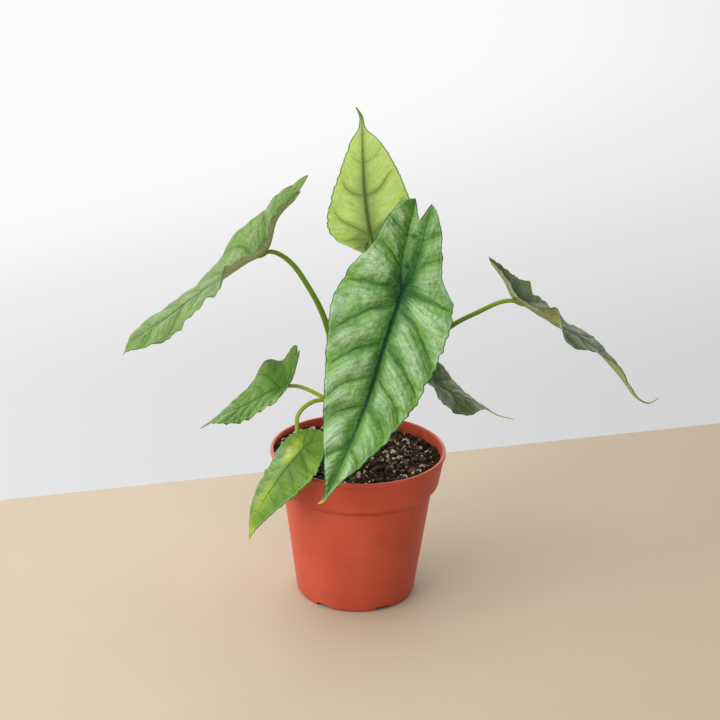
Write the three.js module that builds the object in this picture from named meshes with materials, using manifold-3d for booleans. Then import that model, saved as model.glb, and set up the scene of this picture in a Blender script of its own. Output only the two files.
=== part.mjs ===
// A potted alocasia in a plastic nursery pot: seven arrow-shaped leaves with waved edges on slim stalks.
// Millimetres, +Z up. The origin is the middle of the pot's flat bottom, +X to the viewer's right and
// -Y towards the viewer.
import * as THREE from "three";
import { mergeVertices } from "three/addons/utils/BufferGeometryUtils.js";
import Module from "manifold-3d";

const wasm = await Module();
wasm.setup();

// Driving dimensions of the pot
const RIM_RADIUS = 60;
const POT_HEIGHT = 105;
const POT_WALL = 1.4;
const LIP_HEIGHT = 3;
const LIP_OVERHANG = 0.9;
const COLLAR_RADIUS = 55.9;
const COLLAR_FOOT = 83;
const SHOULDER_RADIUS = 51.3;
const SHOULDER_HEIGHT = 77.5;
const BASE_RADIUS = 40.6;
const BASE_ROUND = 2.6;
const POT_SIDES = 48;
const FLOOR_THICKNESS = 1.8;
const DRAIN_COUNT = 6;
const DRAIN_WIDTH = 12;
const DRAIN_HEIGHT = 3;
const DRAIN_DEPTH = 6;
const FIRST_DRAIN_DEG = -62;

// Driving dimensions of the soil and the crown
const SEAT_GAP = 0.3;
const SOIL_HEIGHT = 98;
const SOIL_FALL_PER_MM = 0.045;
const SOIL_PILE = 3.8;
const SOIL_LUMP = 1.5;
const SOIL_RINGS = 10;
const SOIL_SPOKES = 40;
const GRAIN_COUNT = 75;
const SOIL_SEED = 7;
const CROWN_X = -4.5;
const CROWN_Y = 1;
const CROWN_RADIUS = 10.5;
const CROWN_FOOT = 72;
const CROWN_TOP = 103;
const CROWN_SIDES = 20;

// Driving dimensions of the leaves
const BLADE_THICKNESS = 0.8;
const BLADE_COLUMNS = [0, 0.16, 0.4, 0.66, 0.86, 1];
const RIB_STEPS = 24;
const SPAN_DIVISIONS = 60;
const FOLD_REACH = 1.5;
const VEIN_STRIP = 0.13;
const QUILT_DEPTH = 1.1;
const QUILT_REACH = 0.1;
const STALK_SIDES = 7;
const STALK_STEPS = 18;
const STALK_TAPER_POWER = 0.7;
const STALK_END_TAPER = 0.25;

// Colours, as the soft daylight in the room shows them
const POT_COLOR = 0xbe553e;
const SOIL_COLOR = 0x2c2220;
const CROWN_COLOR = 0x8c9a4c;
const STALK_COLOR = 0x8a9c3e;
const BLADE_COLOR = 0x6f9c62;

// Side veins as [start as a share of the length, slope towards the tip or the lobe's end]
const BLADE_VEINS = [[0, 0], [0.08, 0.7], [0.26, 0.7], [0.53, 0.8], [0.75, 1]];
const LOBE_VEINS = [[0, 0], [0.25, 0.6], [0.6, 1]];

// Waves of a margin as [depth, times the leaf's ripples, times its phase], up and down or in and out
const SIDE_PHASE = 1.1;
const RIPPLE_REACH_POWER = 1.6;
const RIPPLES = [[0.7, 1, 1], [0.5, 1.63, 1.7], [0.3, 2.71, 2.3]];
const JAGS = [[0.012, 1.7, 2], [0.008, 3.1, 1]];

// Share of the half-width at shares of the length, from the stalk's seat to the tip
const TAPERED = [
  [0, 0.93], [0.08, 1], [0.18, 0.985], [0.3, 0.92], [0.45, 0.79], [0.6, 0.62],
  [0.75, 0.42], [0.86, 0.24], [0.92, 0.12], [0.96, 0.05], [1, 0.015],
];
const FULL_TAPERED = [
  [0, 0.93], [0.08, 1], [0.18, 0.985], [0.3, 0.93], [0.45, 0.81], [0.6, 0.67],
  [0.75, 0.49], [0.86, 0.31], [0.93, 0.15], [0.965, 0.07], [1, 0.015],
];
const POINTED = [
  [0, 0.93], [0.08, 1], [0.18, 0.985], [0.3, 0.92], [0.45, 0.8], [0.6, 0.62],
  [0.74, 0.42], [0.84, 0.23], [0.9, 0.12], [0.94, 0.06], [1, 0.02],
];
const SLIM_POINTED = [
  [0, 0.89], [0.08, 0.945], [0.18, 0.915], [0.3, 0.84], [0.45, 0.72], [0.6, 0.55],
  [0.74, 0.355], [0.84, 0.19], [0.9, 0.1], [0.94, 0.05], [1, 0.017],
];
const BROAD = [
  [0, 0.8], [0.08, 0.97], [0.15, 1], [0.26, 0.96], [0.4, 0.85], [0.54, 0.72],
  [0.68, 0.54], [0.76, 0.39], [0.805, 0.27], [0.84, 0.13], [0.87, 0.07], [0.91, 0.05], [1, 0.02],
];
const NARROWED = [
  [0, 0.8], [0.08, 0.95], [0.15, 0.98], [0.26, 0.9], [0.4, 0.75], [0.54, 0.58],
  [0.68, 0.4], [0.77, 0.27], [0.82, 0.16], [0.855, 0.08], [0.91, 0.05], [1, 0.02],
];
const TAILED = [
  [0, 0.93], [0.1, 1], [0.2, 0.98], [0.36, 0.87], [0.5, 0.72], [0.62, 0.52],
  [0.72, 0.35], [0.8, 0.2], [0.86, 0.1], [0.91, 0.065], [1, 0.045],
];
const SLIM_TAILED = [
  [0, 0.93], [0.1, 1], [0.2, 0.95], [0.36, 0.76], [0.5, 0.58], [0.62, 0.43],
  [0.72, 0.3], [0.8, 0.18], [0.86, 0.1], [0.91, 0.065], [1, 0.045],
];
const BELLIED = [
  [0, 0.93], [0.08, 1], [0.18, 0.99], [0.3, 0.94], [0.45, 0.85], [0.6, 0.72],
  [0.72, 0.53], [0.82, 0.28], [0.87, 0.13], [0.92, 0.08], [1, 0.045],
];
const SLENDER = [
  [0, 0.93], [0.08, 1], [0.18, 0.985], [0.3, 0.9], [0.45, 0.74], [0.6, 0.54],
  [0.72, 0.34], [0.82, 0.15], [0.87, 0.09], [0.92, 0.07], [1, 0.045],
];
const LONG_TAILED = [
  [0, 0.93], [0.1, 1], [0.25, 0.96], [0.4, 0.8], [0.53, 0.55], [0.63, 0.27],
  [0.69, 0.13], [0.8, 0.09], [1, 0.05],
];
const BLUNT_TAILED = [
  [0, 0.93], [0.1, 1], [0.25, 0.98], [0.4, 0.9], [0.53, 0.74], [0.62, 0.42],
  [0.69, 0.15], [0.8, 0.09], [1, 0.05],
];

// Share of the half-width at shares of the way from the stalk's seat to a lobe's end, and the cleft's
const LONG_LOBE = [
  [0, 0.93], [0.12, 0.84], [0.3, 0.72], [0.5, 0.59], [0.7, 0.45], [0.87, 0.31], [0.95, 0.22], [1, 0.13],
];
const LEFT_DENTED_LOBE = [
  [0, 0.93], [0.1, 0.9], [0.2, 0.74], [0.3, 0.64], [0.45, 0.57], [0.6, 0.52], [0.75, 0.46],
  [0.87, 0.37], [0.95, 0.28], [1, 0.13],
];
const RIGHT_DENTED_LOBE = [
  [0, 0.89], [0.12, 0.84], [0.22, 0.76], [0.36, 0.65], [0.5, 0.575], [0.7, 0.52],
  [0.87, 0.42], [0.95, 0.34], [1, 0.14],
];
const FINGER_LOBE = [
  [0, 0.93], [0.12, 0.84], [0.3, 0.7], [0.5, 0.54], [0.7, 0.42], [0.87, 0.33], [0.95, 0.29], [1, 0.25],
];
const SLIM_FINGER_LOBE = [
  [0, 0.93], [0.12, 0.84], [0.3, 0.67], [0.5, 0.5], [0.7, 0.38], [0.87, 0.32], [0.95, 0.29], [1, 0.25],
];
const THIN_LOBE = [
  [0, 0.93], [0.12, 0.8], [0.3, 0.64], [0.5, 0.49], [0.7, 0.35], [0.87, 0.22], [0.95, 0.15], [1, 0.1],
];
const ROUND_LOBE = [[0, 0.93], [0.3, 0.8], [0.55, 0.66], [0.8, 0.48], [0.93, 0.32], [1, 0.12]];
const SHORT_LOBE = [[0, 0.8], [0.14, 0.74], [0.35, 0.62], [0.57, 0.5], [0.83, 0.3], [1, 0.1]];
const LONG_CLEFT = [[0.78, 0], [0.86, 0.05], [0.94, 0.09], [1, 0.13]];
const OPEN_CLEFT = [[0.64, 0], [0.76, 0.05], [0.88, 0.14], [1, 0.25]];
const SHORT_CLEFT = [[0.8, 0], [0.9, 0.02], [1, 0.05]];
const CLOSED_CLEFT = [[0.9, 0], [1, 0.02]];

const v3 = (x, y, z) => new THREE.Vector3(x, y, z);

// The leaves. A station is [x, y, z, heading and rise of the left half, heading and rise of the right half,
// curl of the left half, curl of the right half], and left is seen from above with the tip ahead. The
// stations run from the lobes' ends over the stalk's seat to the tip. Widths are half-widths.
const LEAVES = {
  front: {
    widths: [41, 45], rippleDepth: 1.3, ripples: 9, ripplePhase: 0.6, seatStation: 1, arch: 3,
    outlines: [POINTED, SLIM_POINTED], lobes: [LEFT_DENTED_LOBE, RIGHT_DENTED_LOBE],
    cleft: LONG_CLEFT, rows: [28, 13],
    stations: [
      [40, 17, 276, -35, -22, 196, 8, 0, 0],
      [27, -11, 223.5, -25, -16, 170, 8.5, 8, -6],
      [16, -30, 192, -26, -16, 169, 11.5, 6, -6],
      [7, -45, 163, -28, -13, 168.5, 12, 6, -6],
      [-4, -60, 137, -30, -11, 171, 7.5, 6, -6],
      [-14, -71, 116, -28, -8, 173, 3.5, 6, -6],
      [-22, -78, 101.5, -18, -10, 174.5, 1.5, 0, -6],
      [-25, -79, 99.5, -18, -10, 174.5, 1.5, 0, -6],
    ],
    stalk: [[-4, 1, 94], [-3.5, 1.5, 104], [3, 8, 140], [14, 12, 185], [23, 5, 214], [27, -11, 223.5]],
    stalkRadii: [2.1, 1.4],
  },
  top: {
    widths: [31, 28], rippleDepth: 0.9, ripples: 8, ripplePhase: 2, seatStation: 1,
    outlines: [BROAD, NARROWED], lobes: [SHORT_LOBE, SHORT_LOBE],
    cleft: SHORT_CLEFT, rows: [22, 6],
    stations: [
      [6.5, 35.5, 232, 5, 5, 175, 5, 0, 0],
      [5.3, 32.9, 243.6, 5, 7, 180, -3, 6, -2],
      [0.5, 17, 282, 4, 8, 185, -6, 6, -4],
      [-1, 6, 308, 2, 3, 187, -6, 4, 0],
      [-2, 0, 330, -5, -4, 188, -4, 0, -2],
      [-2.6, -1, 337, -3, 0, 186, 0, 0, 0],
      [-6, -2, 343.5, -3, 0, 185, 0, 0, 0],
    ],
    stalk: [[-3.5, 7.5, 94], [-4, 8, 105], [-1, 13, 150], [5, 19, 200], [8, 23, 222], [7.2, 28, 234],
      [5.3, 32.9, 243.6]],
    stalkRadii: [2, 1.3],
  },
  left: {
    widths: [36, 37], rippleDepth: 1.3, ripples: 8, ripplePhase: 1, seatStation: 2,
    outlines: [FULL_TAPERED, TAPERED], lobes: [FINGER_LOBE, SLIM_FINGER_LOBE],
    cleft: OPEN_CLEFT, rows: [25, 11],
    stations: [
      [-37.5, 4, 289, -112, 10, 85, 50, 0, 0],
      [-56.5, 9, 267, -92, 25, 92, 38, 0, 0],
      [-64, 9, 242.5, -90, 27, 93, 33, -3, 4],
      [-77, 8, 234, -92, 23, 92, 24, -6, 2],
      [-85, 7, 228.5, -96, 24, 95, 18, -6, 2],
      [-93, 5, 223, -90, 10, 94, 6, -5, 1],
      [-110.5, 3, 211, -88, -4, 96, -7, 0, 1],
      [-130, 1, 196, -82, -19, 99, -4, -7, 1],
      [-150, -4, 182.5, -84, -18, 104, 2, -6, 3],
      [-160, 3, 168, -86, -5, 100, 4, 0, 0],
    ],
    stalk: [[-9, 4.5, 94], [-9, 4.5, 110], [-11.5, 4.5, 142], [-19, 5, 178], [-26, 7, 200], [-35.5, 8, 218],
      [-47, 9, 234], [-57, 9, 241], [-64, 9, 242.5]],
    stalkRadii: [2.5, 1.5],
  },
  right: {
    widths: [27, 25], rippleDepth: 1.1, ripples: 9, ripplePhase: 2.4, seatStation: 2,
    outlines: [TAILED, SLIM_TAILED], lobes: [THIN_LOBE, THIN_LOBE],
    cleft: LONG_CLEFT, rows: [28, 8],
    stations: [
      [84, 14, 239.5, 88, 16, -90, 30, 0, 0],
      [95.5, 12, 225, 84, 16, -92, 30, 0, 0],
      [103, 10, 211.5, 84, 18, -94, 28, 0, 0],
      [112, 9, 206.5, 87, 18, -95, 25, 0, -3],
      [118, 7, 203, 92, 9, -95, 27, 0, -3],
      [125, 5, 199.5, 89, 5, -96, 40, 0, -3],
      [131, 5, 195.5, 86, 2, -94, 48, 0, -3],
      [137, 3, 193, 87, -8, -95, -5, 0, 0],
      [147, 1, 188, 84, -5, -94, -7, 0, 0],
      [160.5, -1, 178, 86, 2, -97, 21, 0, -5],
      [174, -4, 164, 78, 4, -90, 47, 0, 0],
      [187, -5, 148, 77, 5, -90, 49, 0, 0],
      [195, -5, 144.5, 84, 2, -90, 40, 0, 0],
      [201.5, -5, 148.5, 84, 2, -90, 40, 0, 0],
    ],
    stalk: [[1.5, 0.5, 94], [2, 0.5, 104], [12, 3, 136], [35, 6, 169], [62, 8, 193], [78, 10, 201.5],
      [93.5, 10, 209.5], [103, 10, 211.5]],
    stalkRadii: [2.1, 1.4],
  },
  small_left: {
    widths: [22.5, 24.5], rippleDepth: 0.9, ripples: 7, ripplePhase: 1, seatStation: 1,
    outlines: [BELLIED, SLENDER], lobes: [LONG_LOBE, LONG_LOBE],
    cleft: LONG_CLEFT, rows: [18, 7],
    stations: [
      [-41.5, -2, 178, -83, 12, 114, 30, 5, 0],
      [-49, -8, 153.5, -98, -4, 103, 25, 8, 2],
      [-60, -12, 150, -100, -15, 102, 34, 6, 6],
      [-73, -16, 143, -100, -18, 92, 18, 0, 3],
      [-90, -24, 137.5, -100, -8, 92, 4, 0, 3],
      [-105.5, -30, 129.5, -96, 4, 88, 0, 0, 0],
    ],
    stalk: [[-6.5, -5, 94], [-7, -5.5, 108], [-12, -8, 129], [-21, -9.5, 143.5], [-28, -10, 148],
      [-35, -10, 151.5], [-42, -9, 153.5], [-49, -8, 153.5]],
    stalkRadii: [1.7, 1.2],
  },
  over_rim: {
    widths: [22, 26], rippleDepth: 0.9, ripples: 7, ripplePhase: 3, seatStation: 1,
    outlines: [POINTED, POINTED], lobes: [ROUND_LOBE, ROUND_LOBE],
    cleft: CLOSED_CLEFT, rows: [17, 6],
    stations: [
      [-30, -25, 129, -28, 0, 165, -15, 4, -6],
      [-35.5, -39, 122, -52, -7, 138, -13, 6, -10],
      [-45.5, -52, 114, -42, -14, 122, -8, 3, -15],
      [-56, -55, 99, -40, -12, 117, -1, 4, -14],
      [-64, -59, 86, -40, -8, 116, 2, 2, -10],
      [-71, -64, 64.5, -42, -2, 128, -3, 0, -5],
    ],
    stalk: [[-11, -1, 94], [-11.5, -1, 108], [-13, -2, 132], [-19, -4, 141], [-29.5, -7, 142],
      [-37, -12, 139], [-41, -15, 134], [-41.5, -16.5, 128.7], [-40, -19.5, 118.5], [-37.5, -29, 112.5],
      [-35.5, -39, 122]],
    stalkRadii: [1.7, 1.3],
  },
  small_right: {
    widths: [20, 21], rippleDepth: 0.9, ripples: 6, ripplePhase: 0.3, seatStation: 1,
    outlines: [LONG_TAILED, BLUNT_TAILED], lobes: [LONG_LOBE, LONG_LOBE],
    cleft: LONG_CLEFT, rows: [16, 5],
    stations: [
      [34, 32, 164, 77, 17, -102, 22, 3, 3],
      [48.5, 23, 148, 73, 18, -94, 10, 6, 6],
      [57, 22, 141.5, 79, 12, -92, -6, 0, 0],
      [71, 20, 136, 87, -3, -89, -18, -5, -7],
      [85, 16, 131, 93, -13, -83, 4, -4, 3],
      [95.5, 14, 125.5, 97, -14, -85, 5, 0, 0],
      [106, 12, 123.5, 100, -15, -86, 5, 0, 0],
    ],
    stalk: [[1, 5.5, 94], [2, 6, 104], [14, 10, 128], [30, 16, 142], [42, 21, 146.5], [48.5, 23, 148]],
    stalkRadii: [1.7, 1.2],
  },
};

// A repeatable random number between 0 and 1
function makeRandom(seed) {
  let state = seed;
  return () => {
    state = (state * 1664525 + 1013904223) % 4294967296;
    return state / 4294967296;
  };
}

// The height of a smooth curve through knots of [position, height]
function readCurve(knots, position) {
  if (position <= knots[0][0]) return knots[0][1];
  const last = knots.length - 1;
  if (position >= knots[last][0]) return knots[last][1];
  const slopeAt = (k) => {
    const before = Math.max(k - 1, 0);
    const after = Math.min(k + 1, last);
    return (knots[after][1] - knots[before][1]) / (knots[after][0] - knots[before][0]);
  };
  let i = 0;
  while (position > knots[i + 1][0]) i += 1;
  const [x0, y0] = knots[i];
  const [x1, y1] = knots[i + 1];
  return hermite(y0, y1, slopeAt(i) * (x1 - x0), slopeAt(i + 1) * (x1 - x0), (position - x0) / (x1 - x0));
}

function hermite(from, to, slopeFrom, slopeTo, w) {
  const w2 = w * w;
  const w3 = w2 * w;
  return (2 * w3 - 3 * w2 + 1) * from + (w3 - 2 * w2 + w) * slopeFrom
    + (3 * w2 - 2 * w3) * to + (w3 - w2) * slopeTo;
}

// Rows of numbers blended smoothly at a share of the way from the first row to the last
function blendRows(rows, share) {
  const place = (rows.length - 1) * share;
  const i = Math.min(Math.floor(place), rows.length - 2);
  const row = (k) => rows[Math.min(Math.max(k, 0), rows.length - 1)];
  return rows[0].map((_, c) => {
    const [before, from, to, after] = [row(i - 1)[c], row(i)[c], row(i + 1)[c], row(i + 2)[c]];
    return hermite(from, to, (to - before) / 2, (after - from) / 2, place - i);
  });
}

// A solid from points and triangles, for joining and cutting
function solidFrom(points, triangles) {
  return new wasm.Manifold(new wasm.Mesh({
    numProp: 3,
    vertProperties: new Float32Array(points.flatMap((p) => [p.x, p.y, p.z])),
    triVerts: new Uint32Array(triangles.flat()),
  }));
}

function solidOfGeometry(geometry) {
  const bare = geometry.clone();
  bare.deleteAttribute("normal");
  bare.deleteAttribute("uv");
  const merged = mergeVertices(bare, 1e-4);
  return new wasm.Manifold(new wasm.Mesh({
    numProp: 3,
    vertProperties: merged.attributes.position.array,
    triVerts: new Uint32Array(merged.index.array),
  }));
}

function geometryOf(solid) {
  const { vertProperties, triVerts, numProp } = solid.getMesh();
  const geometry = new THREE.BufferGeometry();
  const positions = new Float32Array((vertProperties.length / numProp) * 3);
  for (let i = 0; i < positions.length / 3; i += 1) {
    positions.set(vertProperties.subarray(i * numProp, i * numProp + 3), i * 3);
  }
  geometry.setAttribute("position", new THREE.BufferAttribute(positions, 3));
  geometry.setIndex(new THREE.BufferAttribute(triVerts, 1));
  geometry.computeVertexNormals();
  return geometry;
}

function namedMesh(name, solid, color, roughness) {
  const material = new THREE.MeshStandardMaterial({ color, roughness, metalness: 0 });
  const mesh = new THREE.Mesh(geometryOf(solid), material);
  mesh.name = name;
  return mesh;
}

// The pot's wall: the outside from the bottom up, over the lip, and the inside down to the floor
function potProfile() {
  const wall = POT_WALL;
  const outer = [
    [0, 0], [BASE_RADIUS - BASE_ROUND, 0], [BASE_RADIUS - 0.8, 0.8], [BASE_RADIUS, BASE_ROUND],
    [SHOULDER_RADIUS, SHOULDER_HEIGHT], [COLLAR_RADIUS, COLLAR_FOOT],
    [RIM_RADIUS - LIP_OVERHANG, POT_HEIGHT - LIP_HEIGHT], [RIM_RADIUS, POT_HEIGHT - LIP_HEIGHT + 0.7],
    [RIM_RADIUS, POT_HEIGHT - 0.5], [RIM_RADIUS - 0.4, POT_HEIGHT],
  ];
  const inner = [
    [RIM_RADIUS - LIP_OVERHANG - wall + 0.4, POT_HEIGHT], [RIM_RADIUS - LIP_OVERHANG - wall, POT_HEIGHT - 1],
    [COLLAR_RADIUS - wall, COLLAR_FOOT + 1], [SHOULDER_RADIUS - wall, SHOULDER_HEIGHT + 0.5],
    [BASE_RADIUS - wall, FLOOR_THICKNESS], [0, FLOOR_THICKNESS],
  ];
  return [...outer, ...inner].map(([r, z]) => new THREE.Vector2(r, z));
}

// LatheGeometry turns about Y, so it is stood up along Z
function turned(profile, sides) {
  const geometry = new THREE.LatheGeometry(profile, sides);
  geometry.rotateX(Math.PI / 2);
  return solidOfGeometry(geometry);
}

function makePot() {
  let pot = turned(potProfile(), POT_SIDES);
  for (let i = 0; i < DRAIN_COUNT; i += 1) {
    const box = new THREE.BoxGeometry(DRAIN_DEPTH * 2, DRAIN_WIDTH, DRAIN_HEIGHT * 2);
    box.translate(BASE_RADIUS, 0, 0);
    box.rotateZ(THREE.MathUtils.degToRad(FIRST_DRAIN_DEG + (360 / DRAIN_COUNT) * i));
    pot = pot.subtract(solidOfGeometry(box));
  }
  return pot;
}

// The inside of the pot's wall at a height
function innerRadius(z) {
  const wall = POT_WALL;
  const steps = [
    [FLOOR_THICKNESS, BASE_RADIUS - wall], [SHOULDER_HEIGHT + 0.5, SHOULDER_RADIUS - wall],
    [COLLAR_FOOT + 1, COLLAR_RADIUS - wall], [POT_HEIGHT, RIM_RADIUS - LIP_OVERHANG - wall],
  ];
  let i = 0;
  while (i < steps.length - 2 && z > steps[i + 1][0]) i += 1;
  return THREE.MathUtils.mapLinear(z, steps[i][0], steps[i + 1][0], steps[i][1], steps[i + 1][1]);
}

// The soil's height without its grains: a slow fall to the right, a pile at both sides, and lumps
function soilHeight(x, y) {
  const lumps = Math.sin(x * 0.31 + 1.3) * Math.cos(y * 0.27 - 0.4) + 0.6 * Math.sin(x * 0.63 - y * 0.52 + 2);
  const piled = SOIL_PILE * (x / RIM_RADIUS) ** 2;
  return SOIL_HEIGHT - SOIL_FALL_PER_MM * x + piled + SOIL_LUMP * 0.5 * lumps;
}

function makeSoil(crownHole) {
  const random = makeRandom(SOIL_SEED);
  const points = [];
  const rings = [];
  const edgeAt = (turn) => {
    const reach = innerRadius(SOIL_HEIGHT);
    return innerRadius(soilHeight(reach * Math.cos(turn), reach * Math.sin(turn))) - SEAT_GAP;
  };
  const addRing = (radiusAt, heightAt) => {
    rings.push(points.length);
    for (let i = 0; i < SOIL_SPOKES; i += 1) {
      const turn = (2 * Math.PI * i) / SOIL_SPOKES;
      const r = radiusAt(turn);
      const [x, y] = [r * Math.cos(turn), r * Math.sin(turn)];
      points.push(v3(x, y, heightAt(x, y)));
    }
  };
  for (const z of [FLOOR_THICKNESS + SEAT_GAP, SHOULDER_HEIGHT + 0.5, COLLAR_FOOT + 1]) {
    addRing(() => innerRadius(z) - SEAT_GAP, () => z);
  }
  for (let k = 0; k < SOIL_RINGS; k += 1) {
    const share = 1 - k / SOIL_RINGS;
    const rough = k === 0 ? 0 : SOIL_LUMP;
    addRing((turn) => edgeAt(turn) * share, (x, y) => soilHeight(x, y) + rough * (random() - 0.5));
  }
  const triangles = ringTriangles(rings, SOIL_SPOKES);
  closeRing(points, triangles, rings[0], v3(0, 0, FLOOR_THICKNESS + SEAT_GAP), SOIL_SPOKES, true);
  closeRing(points, triangles, rings[rings.length - 1], v3(0, 0, soilHeight(0, 0)), SOIL_SPOKES, false);
  let soil = solidFrom(points, triangles);
  const grains = Array.from({ length: GRAIN_COUNT }, () => makeGrain(random));
  soil = wasm.Manifold.union([soil, ...grains]);
  return largestPiece(soil.subtract(crownHole));
}

// A lump of bark or perlite, half sunk in the soil
function makeGrain(random) {
  const turn = 2 * Math.PI * random();
  const r = (innerRadius(SOIL_HEIGHT) - 4.5) * Math.sqrt(random());
  const size = 1.6 + 2.4 * random() * random();
  const grain = new THREE.BoxGeometry(size * (1 + random()), size, size * 0.8);
  grain.rotateX(random() * 3);
  grain.rotateY(random() * 3);
  grain.rotateZ(random() * 3);
  const [x, y] = [r * Math.cos(turn), r * Math.sin(turn)];
  grain.translate(x, y, soilHeight(x, y) + size * 0.15);
  return solidOfGeometry(grain);
}

// Triangles between rings of points that follow each other upwards and inwards, facing out
function ringTriangles(rings, count) {
  const triangles = [];
  for (let k = 0; k + 1 < rings.length; k += 1) {
    for (let i = 0; i < count; i += 1) {
      const [a, b] = [rings[k] + i, rings[k] + ((i + 1) % count)];
      const [c, d] = [rings[k + 1] + i, rings[k + 1] + ((i + 1) % count)];
      triangles.push([a, b, d], [a, d, c]);
    }
  }
  return triangles;
}

function closeRing(points, triangles, start, middle, count, atFoot) {
  const centre = points.length;
  points.push(middle);
  for (let i = 0; i < count; i += 1) {
    const [a, b] = [start + i, start + ((i + 1) % count)];
    triangles.push(atFoot ? [centre, b, a] : [centre, a, b]);
  }
}

// The crown stands a little out of the soil, and clearance makes its hole
function crownSolid(clearance) {
  const r = CROWN_RADIUS + clearance;
  const top = CROWN_TOP + clearance;
  const foot = CROWN_FOOT - clearance;
  const profile = [
    [0, foot], [r * 0.55, foot], [r * 0.85, foot + 5], [r, foot + 14], [r, top - 6],
    [r * 0.93, top - 2], [r * 0.75, top], [0, top + 0.6],
  ].map(([x, z]) => new THREE.Vector2(x, z));
  return turned(profile, CROWN_SIDES).translate([CROWN_X, CROWN_Y, 0]);
}

// A stalk: a round tube that tapers along a smooth route, closed at both ends
function stalkSolid(route, footRadius, topRadius, clearance) {
  const curve = new THREE.CatmullRomCurve3(route.map((p) => v3(...p)));
  const frames = curve.computeFrenetFrames(STALK_STEPS, false);
  const points = [];
  const rings = [];
  for (let k = 0; k <= STALK_STEPS; k += 1) {
    const share = k / STALK_STEPS;
    const middle = curve.getPointAt(share);
    const slim = 1 - STALK_END_TAPER * THREE.MathUtils.smoothstep(share, 0.9, 1);
    const r = (topRadius + (footRadius - topRadius) * (1 - share) ** STALK_TAPER_POWER) * slim + clearance;
    rings.push(points.length);
    for (let i = 0; i < STALK_SIDES; i += 1) {
      const turn = (2 * Math.PI * i) / STALK_SIDES;
      points.push(middle.clone()
        .addScaledVector(frames.normals[k], r * Math.cos(turn))
        .addScaledVector(frames.binormals[k], r * Math.sin(turn)));
    }
  }
  const triangles = ringTriangles(rings, STALK_SIDES);
  closeRing(points, triangles, rings[0], curve.getPointAt(0), STALK_SIDES, true);
  closeRing(points, triangles, rings[STALK_STEPS], curve.getPointAt(1), STALK_SIDES, false);
  return solidFrom(points, triangles);
}

function compassVector(headingDeg, riseDeg) {
  const heading = THREE.MathUtils.degToRad(headingDeg);
  const rise = THREE.MathUtils.degToRad(riseDeg);
  return [Math.cos(heading) * Math.cos(rise), Math.sin(heading) * Math.cos(rise), Math.sin(rise)];
}

// A leaf's midrib and the directions of its halves along it
class LeafFrame {
  constructor(leaf) {
    this.leaf = leaf;
    this.curve = new THREE.CatmullRomCurve3(leaf.stations.map(([x, y, z]) => v3(x, y, z)));
    this.curve.arcLengthDivisions = SPAN_DIVISIONS * (leaf.stations.length - 1);
    this.seatLength = this.curve.getLengths()[SPAN_DIVISIONS * leaf.seatStation];
    this.lobeLength = this.seatLength;
    this.bladeLength = this.curve.getLength() - this.seatLength;
    this.rows = leaf.stations.map((s) => [
      ...compassVector(s[3], s[4]), ...compassVector(s[5], s[6]), s[7], s[8],
    ]);
  }

  // The place on the midrib at a distance ahead of the stalk's seat, with both halves' directions
  at(along) {
    const length = Math.min(Math.max(this.seatLength + along, 0), this.curve.getLength());
    const share = this.curve.getUtoTmapping(0, length);
    const row = blendRows(this.rows, share);
    return {
      middle: this.curve.getPoint(share),
      ahead: this.curve.getTangent(share),
      left: v3(row[0], row[1], row[2]).normalize(),
      right: v3(row[3], row[4], row[5]).normalize(),
      curls: [row[6], row[7]],
    };
  }
}

// The sum of some waves of the margin at a row
function wavesAt(waves, leaf, row, side) {
  const phase = leaf.ripplePhase + (side === 0 ? SIDE_PHASE : -SIDE_PHASE);
  const turns = (2 * Math.PI * leaf.ripples * row.along) / row.bladeLength;
  return waves.reduce((sum, [depth, rate, start]) => sum + depth * Math.sin(rate * turns + start * phase), 0);
}

// The half-width at a row, the cleft's half-width and the distance of the lobe's own rib
function rowWidths(leaf, row, side) {
  const full = leaf.widths[side];
  const jag = 1 + wavesAt(JAGS, leaf, row, side);
  if (row.onBlade) return { outer: full * jag * readCurve(leaf.outlines[side], row.share), inner: 0, rib: 0 };
  const notch = leaf.cleft[0][0];
  const outer = full * (row.share < 1 ? jag : 1) * readCurve(leaf.lobes[side], row.share);
  const inner = row.share > notch ? full * readCurve(leaf.cleft, row.share) : 0;
  return { outer, inner, rib: Math.min(full * VEIN_STRIP * Math.tanh(row.share / 0.2), outer) };
}

// How far a blade's margin is waved up or down, at a distance outside the rib
function rippleAt(leaf, row, side, outside) {
  const reach = Math.min(outside / leaf.widths[side], 1) ** RIPPLE_REACH_POWER;
  return leaf.rippleDepth * reach * wavesAt(RIPPLES, leaf, row, side);
}

// How far a half is arched up between its midrib or cleft and its margin
function archAt(leaf, side, across, outer, inner) {
  if (!leaf.arch || outer <= inner) {
    return 0;
  }
  const share = THREE.MathUtils.clamp((across - inner) / (outer - inner), 0, 1);
  return (leaf.arch * outer * Math.sin(Math.PI * share)) / leaf.widths[side];
}

// How far the blade bulges up between its side veins
function quiltAt(leaf, row, side, across, rib) {
  const full = leaf.widths[side];
  const veins = row.onBlade ? BLADE_VEINS : LOBE_VEINS;
  const along = Math.abs(row.along);
  const length = row.onBlade ? row.bladeLength : row.lobeLength;
  const outside = Math.abs(across - rib);
  let near = outside;
  for (const [start, slope] of veins) {
    const gap = Math.abs(along - start * length - slope * Math.max(across - rib, 0));
    near = Math.min(near, gap / Math.hypot(1, slope));
  }
  return QUILT_DEPTH * (full / 45) * (1 - Math.exp(-((near / (QUILT_REACH * full)) ** 2)));
}

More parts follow.
